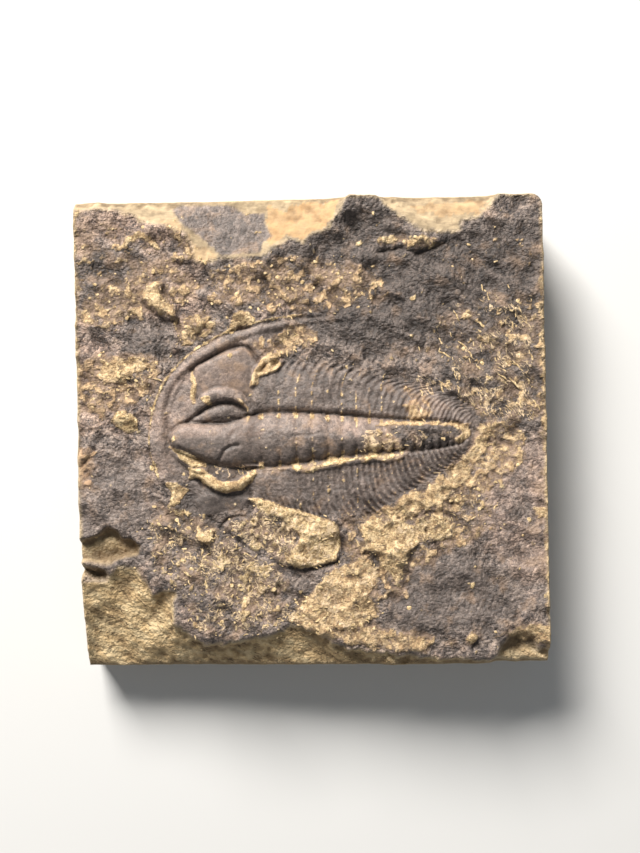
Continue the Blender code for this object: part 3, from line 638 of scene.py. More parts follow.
def flank(x, y, side):  # height, rib strength and swept position of one flank
    t, own = thorax, flanks[side]
    inner = lobeTop(x) if side > 0 else lobeBottom(x)
    outer = np.interp(x, own["outerX"], own["outer"])
    across = (y - inner) / (outer - inner)
    outward = np.clip(side * (y - inner), 0, 20)
    tip = np.interp(x, t["tipX"], own["tip"]) * np.clip(across, 0, 1.1) ** t["tipPower"]
    turns = ribTurns(x - np.interp(x, t["slantX"], own["slant"]) * outward - tip, own["pitch"])
    tipped = across + t["tipLength"] * np.cos(2 * np.pi * turns)
    body = ramp(*t["flankFoot"], across) * ramp(*t["flankEnd"], tipped)
    along = window(x, t["start"], t["start"] + 2, t["end"] - 1, t["end"] + 3)
    mask = np.where(side * (y - inner) > 0, body * along, 0)
    fall = 1 - t["flankFall"] * np.clip(across, 0, 1)
    strength = np.interp(x, t["ribX"], own["strength"]) + t["tipStrength"] * ramp(0.7, 0.95, across)
    strength = np.clip(strength, 0, 1.1) * (1 + t["ribWear"] * rockNoise(x, y, 1.6, 2, 35.0))
    return t["flankHeight"] * fall * mask, mask * strength, turns


# shape holds what the mesh carries to the material and scatters, area what only these steps need
def animalRelief(x, y, shape, area):
    inHead = depthInside(x, y, head["outline"])
    cheek = depthInside(x, y, head["cheek"])
    lowerCheek = depthInside(x, y, head["lowerCheek"])
    upper, upperMask, upperTurns = flank(x, y, 1)
    lower, lowerMask, lowerTurns = flank(x, y, -1)
    lobe, lobeMask = axialLobe(x, y)
    z = head["swell"] * ramp(-0.8, 6.0, inHead) + (upper + lower)
    z += head["cheekHeight"] * ramp(-0.1, 0.9, cheek) * (1 - head["cheekFall"] * ramp(17, 9, y))
    z += head["lowerCheekHeight"] * ramp(-0.4, 1.2, lowerCheek)
    for name, (path, heights, halfWidths) in ridges.items():
        distance, share = followPath(x, y, path)
        across = distance / alongPath(share, halfWidths)
        z += alongPath(share, heights) * dome(across, 1.0 if name == "border" else 0.5)
    inGlabella = depthInside(x, y, head["glabella"])
    swell = np.clip(inGlabella / np.interp(x, head["edgeX"], head["edge"]), 0, 1)
    swell = np.sqrt(swell * (2 - swell))
    front = head["glabellaHeight"] * swell
    z += 0.5 * (front + lobe + np.sqrt((front - lobe) ** 2 + 0.3 * np.minimum(front, lobe)))
    for path, cut, halfWidth in furrows.values():
        z -= cut * groove(followPath(x, y, path)[0], halfWidth)
    covered = ramp(-0.5, 0.3, depthInside(x, y, plates["axisFill"][0]))
    shape["rib"] = np.maximum(upperMask, lowerMask) * (1 - covered)
    shape["ribTurns"] = np.where(upperMask > lowerMask, upperTurns, lowerTurns)
    shape["ring"] = lobeMask
    shape["ringTurns"] = ringTurns(x)
    area["lobe"] = ramp(0, 0.6, lobe)
    area["glabella"] = ramp(-0.3, 0.6, inGlabella)
    area["inHead"] = inHead
    area["smooth"] = np.maximum.reduce([
        ramp(-0.5, 0.6, cheek), ramp(-0.5, 0.6, lowerCheek), np.clip(swell * 2, 0, 1),
        0.85 * ramp(0, 0.4, lobe), 0.75 * ramp(0, 0.3, upper + lower),
        0.8 * ramp(-0.5, 0.8, inHead)])
    area["smooth"] *= 1 - 0.9 * ramp(-0.3, 0.8, depthInside(x, y, head["core"]))
    return z


def crustInRings(x, y, area):  # ochre in the ring furrows, at their ends and by the border
    c = ringCrust
    turns = ringTurns(x - 1.5 * ramp(9, 15, y))
    off = np.abs(turns - np.round(turns))
    line = groove(off, c["lineWidth"]) * ramp(-0.25, 0.3, rockNoise(x, y, 0.9, 2, 14.6))
    found = [line * (full * window(x, *overX) * window(y, *overY))
             for full, overX, overY in c["lines"]]
    dots = groove(off, c["dotWidth"]) * groove(y - lobeTop(x) + 0.6, 0.8)
    found.append(c["dots"] * dots * window(x, *c["dotsX"]))
    above = y - lobeBottom(x)
    teeth = groove(off, c["toothWidth"]) * ramp(1.7, 0.7, above) * (above > -0.5)
    found.append(c["teeth"] * teeth * window(x, *c["teethX"]))
    fromBorder = followPath(x, y, ridges["border"][0])[0] - c["borderOff"]
    outside = (area["inHead"] < 0) * ramp(-12, -8, y) * ramp(2, -3, x)
    found.append(c["border"] * groove(fromBorder, c["borderWidth"]) * outside)
    return np.maximum.reduce(found)


def addCrusts(x, y, shape, area):  # how much ochre covers the skin, before the shader breaks it up
    c = crustLook
    rough = shaken(x, y, c["shake"])
    for name in ("crust", "orange", *bitAreas):
        shape[name] = np.full(x.shape, c["bare"].get(name, 0.0))
    for name, (outline, full, warm) in crusts.items():
        soft, wander = c["firmEdge"] if full > c["firm"] else c["softEdge"]
        inside = ramp(-soft, soft, depthWandering(x, y, rough, wander, outline))
        shape["orange"] = np.where(inside * full > shape["crust"], warm, shape["orange"])
        shape["crust"] = np.maximum(shape["crust"], inside * full)
        for bits, areas in bitAreas.items():
            shape[bits] = np.maximum(shape[bits], inside * areas.get(name, 0))
    shape["crust"] = np.maximum(shape["crust"], crustInRings(x, y, area))
    uneven = c["patchRough"] * rockNoise(x, y, 2.3, 4, 91.0)
    shape["patch"] = ramp(*c["patch"], shape["crust"] + uneven)
    crest = (0.5 - 0.5 * np.cos(2 * np.pi * shape["ribTurns"])) ** 3 * shape["rib"]
    dotted = c["ribDots"] * crest * ramp(-0.1, 0.35, rockNoise(x, y, 0.7, 2, 15.8)) * ramp(-4, 2, x)
    shape["crust"] = np.maximum(shape["crust"], dotted * np.where(y < 0, 1, 0.7))


def addTone(x, y, rough, shape, area):  # the skin's tone, with painted shade on the lobe's lower half
    t = lobeToneAndShade
    tone = np.full(x.shape, 0.5)
    for outline, wanted in toneAreas.values():
        tone += (wanted - tone) * ramp(-3, 3, depthInside(*rough, outline))
    # painted shade: the line where the lobe turns darker, waving with the rings
    middle = lobeTop(x) - t["down"] + t["waves"] * np.abs(np.sin(np.pi * ringTurns(x)))
    lobe = t["low"] + t["rise"] * ramp(-1.0, 1.0, y - middle)
    lobe += (t["core"] - lobe) * ramp(-0.3, 0.6, depthInside(*rough, head["core"]))
    shape["tone"] = tone + (lobe - tone) * np.maximum(area["lobe"], area["glabella"])


def relief(x, y):
    r = rockLook
    shape, area = {}, {}
    z = r["swell"] * rockNoise(x, y, r["swellSize"], 3, 4.2)
    z += animalRelief(x, y, shape, area)
    rough = shaken(x, y, r["shake"])
    rimHeight, north = upperRim(*rough)
    corner, below = brokenCorner(*rough)
    z += rimHeight + corner
    for outline, height, edge, wander in plates.values():
        inside = depthWandering(x, y, rough, wander, outline)
        z += height * ramp(-edge * 0.4, edge * 0.6, inside) * (1 - area["lobe"])
    shape["hollow"] = np.zeros(x.shape)
    for outline, depth, edge in hollows.values():
        inside = ramp(-edge * 0.3, edge * 1.2, depthInside(*rough, outline))
        z -= depth * inside
        shape["hollow"] = np.maximum(shape["hollow"], inside)
    for middleX, middleY, radius, height in knobs:
        z += height * dome(np.hypot(x - middleX, y - middleY) / radius)
    even = area["smooth"]
    for outline in smoothAreas.values():
        even = np.maximum(even, r["even"] * ramp(-2, 2, depthInside(x, y, outline)))
    rimPatch = ramp(-0.3, 0.3, depthInside(*rough, smoothAreas["rimPatch"]))
    even = np.maximum(even, r["rimPatchEven"] * rimPatch)
    shape["even"] = even
    shape["fresh"] = np.maximum(ramp(-0.2, 0.5, below), ramp(-0.1, 0.4, north) * (1 - rimPatch))
    shape["cream"] = ramp(*r["cream"], y)
    # painted highlight: a thin light line along the rim's crest and the broken corner's edge
    area["crest"] = np.maximum(
        r["rimHighlight"] * groove(north + 0.1, 0.3), r["cornerHighlight"] * groove(below, 0.3))
    addCrusts(x, y, shape, area)
    addTone(x, y, rough, shape, area)
    onBreaks = 1 - r["rimCalm"] * ramp(-0.2, 0.6, north)
    onBreaks *= 1 - r["cornerCalm"] * ramp(-0.2, 0.6, below)
    skin = sum(height * rockNoise(x, y, *sizes) for height, *sizes in r["lumps"])
    skin += sum(height * rockStreaks(x, y, *sizes) for height, *sizes in r["streaks"])
    skin += sum(height * rockFacets(x, y, *sizes) for height, *sizes in r["facets"])
    z += (1 - r["evenCalm"] * even) * onBreaks * skin
    z += shape["fresh"] * r["freshGrain"] * rockNoise(x / 2.0, y, 1.1, 2, 83.0)
    crust = r["crustHeight"] + r["crustRough"] * rockNoise(x, y, 0.8, 2, 94.0)
    z += shape["patch"] * (1 - shape["fresh"]) * crust
    return z, shape, area


def spacedLine(half, fine, finePitch, coarsePitch, blend):
    s = np.linspace(-half, half, 4001)
    near = window(s, fine[0] - blend, fine[0], fine[1], fine[1] + blend)
    pitch = coarsePitch + (finePitch - coarsePitch) * near
    cells = np.concatenate([[0], np.cumsum(np.diff(s) / pitch[1:])])
    return np.interp(np.linspace(0, cells[-1], int(round(cells[-1])) + 1), cells, s)


def roundCorner(x, y):
    radius = slabMesh["cornerRadius"]
    cornerX = np.maximum(x - (halfX - radius), 0)
    cornerY = np.maximum(y - (halfY - radius), 0)
    longest = np.maximum(cornerX, cornerY)
    reach = np.hypot(cornerX, cornerY)
    scale = np.divide(longest, reach, out=np.ones_like(reach), where=reach > 0)
    return x - cornerX * (1 - scale), y - cornerY * (1 - scale)


def neighbourMean(values, rounds):
    for _ in range(rounds):
        padded = np.pad(values, 1, mode="edge")
        values = (padded[:-2, 1:-1] + padded[2:, 1:-1] + padded[1:-1, :-2] + padded[1:-1, 2:]) / 4
    return values


def slabTop():  # the relief's points in mm, and what the material and the scatters read there
    m = slabMesh
    xs = spacedLine(halfX, m["fineX"], m["finePitch"], m["coarsePitch"], m["blend"])
    ys = spacedLine(halfY, m["fineY"], m["finePitch"], m["coarsePitchY"], m["blend"])
    x, y = roundCorner(*np.meshgrid(xs, ys))
    z, shape, area = relief(x, y)
    # how far each point lies below its neighbours; the material turns it into painted shade in
    # hollows
    shape["pit"] = np.clip((neighbourMean(z, m["pitRounds"]) - z) / m["pitDepth"], -1, 1)
    edgeGap = np.minimum(halfX - np.abs(x), halfY - np.abs(y))
    # pale worn arris along the slab's edges, plus the painted highlight along the crests
    shape["edge"] = np.maximum(ramp(*m["lightEdge"], edgeGap), area["crest"])
    shape["crumbs"] *= 1 - area["smooth"]
    for bits in bitAreas:
        shape[bits] *= ramp(*m["bareEdge"], edgeGap)
    return np.stack([x, y, z], -1), shape


def linkObject(name, data):
    item = bpy.data.objects.new(name, data)
    bpy.context.scene.collection.objects.link(item)
    return item


def buildSlab():
    m = slabMesh
    grid, shape = slabTop()
    ny, nx = grid.shape[:2]
    top = grid.reshape(-1, 3)
    index = np.arange(nx * ny).reshape(ny, nx)
    quads = np.stack([index[:-1, :-1], index[:-1, 1:], index[1:, 1:], index[1:, :-1]], -1)
    last = np.concatenate([index[0, :-1], index[:-1, -1], index[-1, :0:-1], index[:0:-1, 0]])
    ring = top[last]
    outward = ring[:, :2] / np.array([halfX, halfY])
    top[last, :2] -= m["arris"] * np.where(np.abs(outward) > 0.999, np.sign(outward), 0)
    rows, faces = [top], [quads.reshape(-1, 4)]
    for k in range(m["sideRows"] + 1):
        share = k / m["sideRows"]
        low = ring.copy()
        low[:, 2] = (ring[:, 2] - m["arris"]) * (1 - share) - bedding / mm * share
        wave = 1 + rockNoise(low[:, 0] + low[:, 1], low[:, 2] * 3, 9.0, 2, 7.7)
        low[:, :2] -= outward * (m["sawWave"] * wave * (k > 0))[:, None] * (share < 1)
        here = len(top) + len(ring) * k + np.arange(len(ring))
        faces.append(np.stack([last, here, np.roll(here, -1), np.roll(last, -1)], -1))
        rows.append(low)
        last = here
    mesh = bpy.data.meshes.new("slabStone")
    points = np.concatenate(rows) * mm + np.array([0, 0, bedding])
    polygons = np.concatenate(faces).tolist() + [last[::-1].tolist()]
    mesh.from_pydata(points.tolist(), [], polygons)
    shape["side"] = np.zeros(nx * ny)
    for name, values in shape.items():
        below = np.full(len(points) - len(top), 1.0 if name == "side" else 0.0)
        layer = mesh.attributes.new(name, "FLOAT", "POINT")
        everywhere = np.concatenate([values.reshape(-1), below])
        layer.data.foreach_set("value", everywhere.astype(np.float32))
    mesh.shade_smooth()
    print("slab surface:", nx, "x", ny, "points,", sum(len(p) - 2 for p in polygons), "triangles")
    return linkObject("slabStone", mesh)


# nodes: an input is given another node's output, a number, a colour or a vector
def addNode(tree, kind, inputs=None, **settings):
    node = tree.nodes.new(kind)
    for name, value in settings.items():
        setattr(node, name, value)
    for name, value in (inputs or {}).items():
        socket = node.inputs[name]
        if isinstance(value, bpy.types.NodeSocket):
            tree.links.new(value, socket)
        else:
            socket.default_value = (*value, 1) if socket.type == "RGBA" else value
    return node


def treeMath(tree, operation, *values):
    node = addNode(tree, "ShaderNodeMath", dict(enumerate(values)), operation=operation)
    return node.outputs[0]


def times(tree, first, second):
    return treeMath(tree, "MULTIPLY", first, second)


def timesPlus(tree, value, factor, added):
    return treeMath(tree, "MULTIPLY_ADD", value, factor, added)


def most(tree, first, second):
    return treeMath(tree, "MAXIMUM", first, second)


def vectorMath(tree, operation, *values):
    node = addNode(tree, "ShaderNodeVectorMath", dict(enumerate(values)), operation=operation)
    return node.outputs[0]


def joinVector(tree, x=0.0, y=0.0, z=0.0):
    return addNode(tree, "ShaderNodeCombineXYZ", {0: x, 1: y, 2: z}).outputs[0]


def furrowWaves(tree, read, ringPower):  # 1 in the furrows between ribs, and between rings
    ribs = treeMath(tree, "COSINE", times(tree, read(tree, "ribTurns"), 2 * math.pi))
    ribs = timesPlus(tree, ribs, 0.5, 0.5)
    rings = treeMath(tree, "SINE", times(tree, read(tree, "ringTurns"), math.pi))
    rings = treeMath(tree, "POWER", treeMath(tree, "ABSOLUTE", rings), ringPower)
    return ribs, treeMath(tree, "SUBTRACT", 1.0, rings)


def socketId(tree, name):  # a modifier takes a socket's identifier, not its name
    return next(item.identifier for item in tree.interface.items_tree
                if item.item_type == "SOCKET" and item.in_out == "INPUT" and item.name == name)


def newTree(name, sizes):
    tree = bpy.data.node_groups.new(name, "GeometryNodeTree")
    for way in ("INPUT", "OUTPUT"):
        tree.interface.new_socket("Geometry", in_out=way, socket_type="NodeSocketGeometry")
    for label, value in sizes.items():
        kind = "NodeSocketInt" if isinstance(value, int) else "NodeSocketFloat"
        tree.interface.new_socket(label, in_out="INPUT", socket_type=kind)
    return tree, tree.nodes.new("NodeGroupInput").outputs


def readAttribute(tree, name):
    node = addNode(tree, "GeometryNodeInputNamedAttribute", {"Name": name}, data_type="FLOAT")
    return node.outputs["Attribute"]


def realized(tree, geometry):
    return addNode(tree, "GeometryNodeRealizeInstances", {0: geometry}).outputs[0]


def runTree(piece, tree, sizes, geometry, material, name):  # ends the tree, then makes a plain mesh
    painted = addNode(tree, "GeometryNodeSetMaterial", {
        "Geometry": realized(tree, geometry), "Material": material})
    addNode(tree, "NodeGroupOutput", {0: painted.outputs[0]})
    modifier = piece.modifiers.new(tree.name, "NODES")
    modifier.node_group = tree
    for label, value in sizes.items():
        modifier[socketId(tree, label)] = value
    depsgraph = bpy.context.evaluated_depsgraph_get()
    mesh = bpy.data.meshes.new_from_object(piece.evaluated_get(depsgraph))
    piece.modifiers.remove(modifier)
    return linkObject(name, mesh)


ribSizes = {"Rib height": 0.36 * mm, "Rib sharpness": 1.8, "Ring depth": 0.75 * mm}


def addRibs(slab, material):  # ribs on the flanks and furrows between the rings, along the animal
    tree, inputs = newTree("ribsAndRings", ribSizes)
    ribs, rings = furrowWaves(tree, readAttribute, 0.5)
    ribs = treeMath(tree, "POWER", ribs, inputs["Rib sharpness"])
    ribDrop = times(tree, times(tree, ribs, inputs["Rib height"]), readAttribute(tree, "rib"))
    ringDrop = times(tree, times(tree, rings, inputs["Ring depth"]), readAttribute(tree, "ring"))
    drop = times(tree, treeMath(tree, "ADD", ribDrop, ringDrop), -1.0)
    moved = addNode(tree, "GeometryNodeSetPosition", {
        "Geometry": inputs["Geometry"], "Offset": joinVector(tree, z=drop)})
    ribbed = runTree(slab, tree, ribSizes, moved.outputs[0], material, "trilobiteStone")
    bpy.data.objects.remove(slab)
    return ribbed


def newMaterial(name):
    material = bpy.data.materials.new(name)
    material.use_nodes = True
    tree = material.node_tree
    return material, tree, tree.nodes["Principled BSDF"]


def shaderNoise(tree, vector, scale, detail=2.0, roughness=0.55, distortion=0.0):
    return addNode(tree, "ShaderNodeTexNoise", {
        "Vector": vector, "Scale": scale, "Detail": detail, "Roughness": roughness,
        "Distortion": distortion}).outputs["Fac"]


def shaderValue(tree, name):
    return addNode(tree, "ShaderNodeAttribute", attribute_name=name).outputs["Fac"]


def colourRamp(tree, value, stops):
    node = addNode(tree, "ShaderNodeValToRGB", {0: value})
    elements = node.color_ramp.elements
    while len(elements) < len(stops):
        elements.new(0.5)
    for element, (position, colour) in zip(elements, stops):
        element.position = position
        element.color = (*colour, 1)
    return node.outputs[0]


def shades(colour, *levels):  # a darker, the plain and a lighter shade for a ramp
    low, high = (tuple(c * level for c in colour) for level in levels)
    return [(0.32, low), (0.5, colour), (0.68, high)]


def fade(tree, value, low, high, first=0.0, last=1.0):  # from first to last between low and high
    return colourRamp(tree, value, [(low, (first,) * 3), (high, (last,) * 3)])


def mixColour(tree, factor, first, second, blend="MIX"):
    inputs = {0: factor, 6: first, 7: second}
    return addNode(tree, "ShaderNodeMix", inputs, data_type="RGBA", blend_type=blend).outputs[2]


def scaledCoords(tree, scale=(1, 1, 1), turn=0.0):
    coords = tree.nodes.new("ShaderNodeTexCoord").outputs["Object"]
    return addNode(tree, "ShaderNodeMapping", {
        "Vector": coords, "Scale": scale, "Rotation": (0, 0, math.radians(turn))}).outputs[0]


def leaningCoords(tree, lean, stretch):  # draws a pattern out along one direction
    return addNode(tree, "ShaderNodeMapping", {
        "Vector": scaledCoords(tree, turn=-lean), "Scale": (1 / stretch, 1, 1)}).outputs[0]


def shaderGrains(tree, plain, scale):  # grains with sharp joints: their shade and their roundness
    stir = addNode(tree, "ShaderNodeTexNoise", {"Vector": plain, "Scale": scale})
    moved = vectorMath(tree, "MULTIPLY_ADD", stir.outputs["Color"], (0.9 / scale,) * 3, plain)
    node = addNode(tree, "ShaderNodeTexVoronoi", {"Vector": moved, "Scale": scale})
    return node.outputs["Color"], node.outputs["Distance"]


def shaderVeins(tree, coords, plain, name, scale, width):  # thin lines where an attribute is high
    line = shaderNoise(tree, coords, scale, 3, 0.6, distortion=0.6)
    away = treeMath(tree, "ABSOLUTE", treeMath(tree, "SUBTRACT", line, 0.5))
    gate = timesPlus(tree, shaderValue(tree, name), 0.5, shaderNoise(tree, plain, 320, 4, 0.65))
    gate = fade(tree, treeMath(tree, "SUBTRACT", gate, 0.25), 0.48, 0.53)
    return times(tree, fade(tree, away, width * 0.5, width, 1.0, 0.0), gate)


# colours, the patterns' scales and leans in degrees, then the roughness and the bump in metres
stoneLook = {
    "skinDark": (0.042, 0.034, 0.031), "skinMid": (0.15, 0.118, 0.1),
    "skinLight": (0.33, 0.262, 0.215), "skinBlue": (0.1, 0.08, 0.069),
    "warmth": (1.7, 1.5, 1.36), "brown": (0.27, 0.185, 0.125),
    "ochre": (0.49, 0.345, 0.17), "ochreLight": (0.77, 0.59, 0.34),
    "ochreDeep": (0.25, 0.16, 0.075), "stain": (0.44, 0.28, 0.17), "vein": (0.66, 0.49, 0.31),
    "fresh": (0.52, 0.36, 0.18), "freshLight": (0.58, 0.44, 0.25),
    "freshDark": (0.23, 0.155, 0.077), "rust": (0.46, 0.27, 0.12),
    "cream": (0.34, 0.255, 0.155), "sawn": (0.36, 0.29, 0.195),
    # the furrow and pit colours on the next line are painted shade for furrows and hollows
    "furrowShadeColour": (0.36, 0.3, 0.27), "pitShadeColour": (0.3, 0.26, 0.23),
    "darkLevel": (0.76, 0.74, 0.73), "lightLevel": (1.08, 1.06, 1.05),
    "broadScale": 130, "stainScale": 260, "patchScale": 420, "fleckScale": 900, "pebbleScale": 1300,
    "grainScale": 1500, "dustScale": 3800, "strataScale": 450, "layerScale": 520, "sawScale": 620,
    "needleScale": 640, "threadScale": 560, "crackScale": 330,
    "breakLean": -32, "needleLean": -62, "layerLean": -4,
    "roughness": 0.62, "dullness": 0.28, "grain": 0.00055,
}


def skinColour(tree, plain, mottled):
    look = stoneLook
    even = shaderValue(tree, "even")
    # the tone attribute also carries the painted shade on the lobe's lower half
    toneAndLobeShade = shaderValue(tree, "tone")
    rough = colourRamp(tree, mottled, [
        (0.38, look["skinDark"]), (0.49, look["skinMid"]), (0.62, look["skinLight"])])
    smooth = colourRamp(tree, mottled, shades(look["skinMid"], 0.6, 1.7))
    skin = mixColour(tree, even, rough, smooth)
    broad = shaderNoise(tree, plain, look["broadScale"], 6, 0.7, distortion=0.6)
    spread = timesPlus(tree, even, -1.2, 2.0)
    tone = timesPlus(tree, treeMath(tree, "SUBTRACT", broad, 0.5), spread, toneAndLobeShade)
    blue = colourRamp(tree, mottled, shades(look["skinBlue"], 0.45, 1.9))
    skin = mixColour(tree, fade(tree, tone, 0.05, 0.5, 0.8, 0.0), skin, blue)
    lit = mixColour(tree, 1.0, skin, look["warmth"], "MULTIPLY")
    skin = mixColour(tree, fade(tree, tone, 0.5, 0.95, 0.0, 0.9), skin, lit)
    stained = shaderNoise(tree, plain, look["stainScale"], 4, 0.6)
    stained = timesPlus(tree, stained, 1.5, shaderValue(tree, "crust"))
    stained = fade(tree, treeMath(tree, "SUBTRACT", stained, 0.75), 0.33, 0.58, 0.0, 0.85)
    brown = [tuple(c * share for c in look["brown"]) for share in (0.45, 1.7)]
    skin = mixColour(tree, stained, skin, mixColour(tree, mottled, *brown))
    level = colourRamp(tree, toneAndLobeShade, [(0.0, look["darkLevel"]), (0.55, look["lightLevel"])])
    return mixColour(tree, 1.0, skin, level, "MULTIPLY"), even


def furrowShade(tree):  # painted shade between the ribs and in the ring furrows
    ribs, rings = furrowWaves(tree, shaderValue, 0.4)
    ribs = times(tree, ribs, shaderValue(tree, "rib"))
    rings = times(tree, rings, shaderValue(tree, "ring"))
    return times(tree, most(tree, ribs, rings), 0.9)


def freshColour(tree, patches):  # broken rock: olive brown at the corner, cream behind the rim
    look = stoneLook
    lean = look["breakLean"]
    strata = shaderNoise(tree, leaningCoords(tree, lean, 2.2), look["strataScale"], 6, 0.72)
    corner = colourRamp(tree, strata, [
        (0.3, look["freshDark"]), (0.45, look["fresh"]), (0.6, look["freshLight"])])
    long, short = leaningCoords(tree, lean, 3.4), leaningCoords(tree, lean, 1.6)
    cracks = shaderVeins(tree, long, short, "fresh", look["crackScale"], 0.024)
    cracks = times(tree, cracks, fade(tree, patches, 0.47, 0.57))
    corner = mixColour(tree, cracks, corner, look["freshDark"])
    along = leaningCoords(tree, look["layerLean"], 4.0)
    layers = shaderNoise(tree, along, look["layerScale"], 6, 0.72)
    cream = timesPlus(tree, layers, 0.75, times(tree, patches, 0.25))
    cream = colourRamp(tree, cream, shades(look["cream"], 0.5, 1.6))
    return corner, mixColour(tree, shaderValue(tree, "cream"), corner, cream)


def sawnColour(tree, mottled):  # the four cut sides
    sawn = colourRamp(tree, mottled, shades(stoneLook["sawn"], 0.6, 1.35))
    layers = shaderNoise(tree, scaledCoords(tree, (0.1, 0.1, 1)), stoneLook["sawScale"], 4, 0.65)
    return mixColour(tree, times(tree, layers, 0.7), sawn, stoneLook["fresh"])


def ochreCover(tree, plain, mottled, patches, flecks):  # the crust's colour and where it lies
    look = stoneLook
    ochre = colourRamp(tree, mottled, [
        (0.4, look["ochreDeep"]), (0.49, look["ochre"]), (0.59, look["ochreLight"])])
    orange = times(tree, shaderValue(tree, "orange"), times(tree, patches, 2.0))
    speck = timesPlus(tree, flecks, 1.6, shaderValue(tree, "crust"))
    speck = fade(tree, treeMath(tree, "SUBTRACT", speck, 0.8), 0.5, 0.68, 0.0, 0.8)
    lump = times(tree, shaderValue(tree, "patch"), timesPlus(tree, flecks, 4.4, -1.2))
    lump = fade(tree, lump, 0.2, 0.75)
    leaning = leaningCoords(tree, look["needleLean"], 3.4)
    needles = shaderVeins(tree, leaning, plain, "needles", look["needleScale"], 0.04)
    threads = shaderVeins(tree, plain, plain, "threads", look["threadScale"], 0.045)
    ochre = mixColour(tree, orange, ochre, look["stain"])
    return ochre, orange, most(tree, speck, lump), most(tree, needles, threads)


def stoneMaterial():
    material, tree, shader = newMaterial("trilobiteStone")
    look = stoneLook
    plain = scaledCoords(tree)
    patches = shaderNoise(tree, plain, look["patchScale"], 4, 0.65)
    grain = shaderNoise(tree, plain, look["grainScale"], 3, 0.65)
    dust = shaderNoise(tree, plain, look["dustScale"], 2, 0.6)
    flecks = shaderNoise(tree, plain, look["fleckScale"], 5, 0.75, distortion=0.5)
    pebbleTone, pebbleDome = shaderGrains(tree, plain, look["pebbleScale"])
    mottled = timesPlus(tree, grain, 0.35, times(tree, patches, 0.35))
    mottled = timesPlus(tree, pebbleTone, 0.2, mottled)
    mottled = timesPlus(tree, dust, 0.4, treeMath(tree, "SUBTRACT", mottled, 0.15))
    fresh, side = shaderValue(tree, "fresh"), shaderValue(tree, "side")

    skin, even = skinColour(tree, plain, mottled)
    ochre, orange, crumbly, veins = ochreCover(tree, plain, mottled, patches, flecks)
    colour = mixColour(tree, veins, mixColour(tree, crumbly, skin, ochre), look["vein"])
    crumbly = most(tree, crumbly, veins)
    corner, broken = freshColour(tree, patches)
    broken = mixColour(tree, times(tree, orange, 0.75), broken, look["rust"])
    colour = mixColour(tree, fresh, colour, broken)
    colour = mixColour(tree, times(tree, shaderValue(tree, "hollow"), 0.8), colour, corner)
    # pale worn arris at the slab's edges, and a painted highlight along the crests of the rim and the
    # broken corner
    edge = times(tree, shaderValue(tree, "edge"), timesPlus(tree, patches, 2.4, -0.8))
    colour = mixColour(tree, edge, colour, look["freshLight"])
    # painted shade: the furrows between ribs and rings are darkened
    colour = mixColour(tree, furrowShade(tree), colour, look["furrowShadeColour"], "MULTIPLY")
    # painted shade in hollows: darker where a point lies below its neighbours
    pit = times(tree, shaderValue(tree, "pit"), 0.7)
    colour = mixColour(tree, pit, colour, look["pitShadeColour"], "MULTIPLY")
    colour = mixColour(tree, side, colour, sawnColour(tree, mottled))
    dull = most(tree, crumbly, most(tree, fresh, side))
    tree.links.new(colour, shader.inputs["Base Color"])
    roughness = timesPlus(tree, dull, look["dullness"], look["roughness"])
    tree.links.new(roughness, shader.inputs["Roughness"])

    # the bump is calmer on smooth shell, on the sawn sides and on the cream break
    height = timesPlus(tree, dust, 0.3, timesPlus(tree, grain, 0.9, patches))
    height = timesPlus(tree, crumbly, 0.4, height)
    height = timesPlus(tree, pebbleDome, timesPlus(tree, crumbly, 0.3, -0.6), height)
    cut = most(tree, times(tree, fresh, shaderValue(tree, "cream")), side)
    calm = times(tree, timesPlus(tree, even, -0.75, 1.0), timesPlus(tree, cut, -0.75, 1.0))
    bump = addNode(tree, "ShaderNodeBump", {
        "Distance": look["grain"], "Height": height, "Strength": calm})
    tree.links.new(bump.outputs[0], shader.inputs["Normal"])
    return material


bitLook = {"scale": 1800, "roughness": 0.9, "bumpScale": 2500, "bump": 0.0002, "bumpStrength": 0.8}


def bitMaterial():
    material, tree, shader = newMaterial("ochreGrain")
    plain = scaledCoords(tree)
    look = stoneLook
    colour = colourRamp(tree, shaderNoise(tree, plain, bitLook["scale"], 4, 0.75), [
        (0.36, look["ochreDeep"]), (0.46, look["ochre"]), (0.62, look["ochreLight"])])
    tree.links.new(colour, shader.inputs["Base Color"])
    shader.inputs["Roughness"].default_value = bitLook["roughness"]
    bump = addNode(tree, "ShaderNodeBump", {
        "Distance": bitLook["bump"], "Strength": bitLook["bumpStrength"],
        "Height": shaderNoise(tree, plain, bitLook["bumpScale"], 3, 0.7)})
    tree.links.new(bump.outputs[0], shader.inputs["Normal"])
    return material


# loose and grown ochre bits: lengths in metres, lean in degrees from the animal's length
crumbSizes = {
    "Bits per square mm": 0.3, "Shortest": 0.25 * mm, "Longest": 1.2 * mm, "Slimness": 0.7,
    "Thinnest": 0.05 * mm, "Height": 0.24, "Lean": 0.0, "Lean spread": 180.0, "Wobble": 0.45 * mm,
    "Wobble scale": 1500.0, "Seed": 4,
}
threadSizes = {
    "Bits per square mm": 0.4, "Shortest": 0.5 * mm, "Longest": 2.0 * mm, "Slimness": 0.1,
    "Thinnest": 0.16 * mm, "Height": 0.04, "Lean": -35.0, "Lean spread": 75.0, "Wobble": 0.9 * mm,
    "Wobble scale": 1100.0, "Seed": 9,
}
needleSizes = {
    "Bits per square mm": 0.22, "Shortest": 1.0 * mm, "Longest": 4.6 * mm, "Slimness": 0.05,
    "Thinnest": 0.17 * mm, "Height": 0.02, "Lean": -62.0, "Lean spread": 30.0, "Wobble": 1.2 * mm,
    "Wobble scale": 900.0, "Seed": 12,
}
ball = {"Segments": 5, "Rings": 7, "Radius": 0.5}  # a bit's shape before it is stretched and bent


def randomValue(tree, low, high, seed):
    inputs = {2: low, 3: high, "Seed": seed}
    return addNode(tree, "FunctionNodeRandomValue", inputs, data_type="FLOAT").outputs[1]


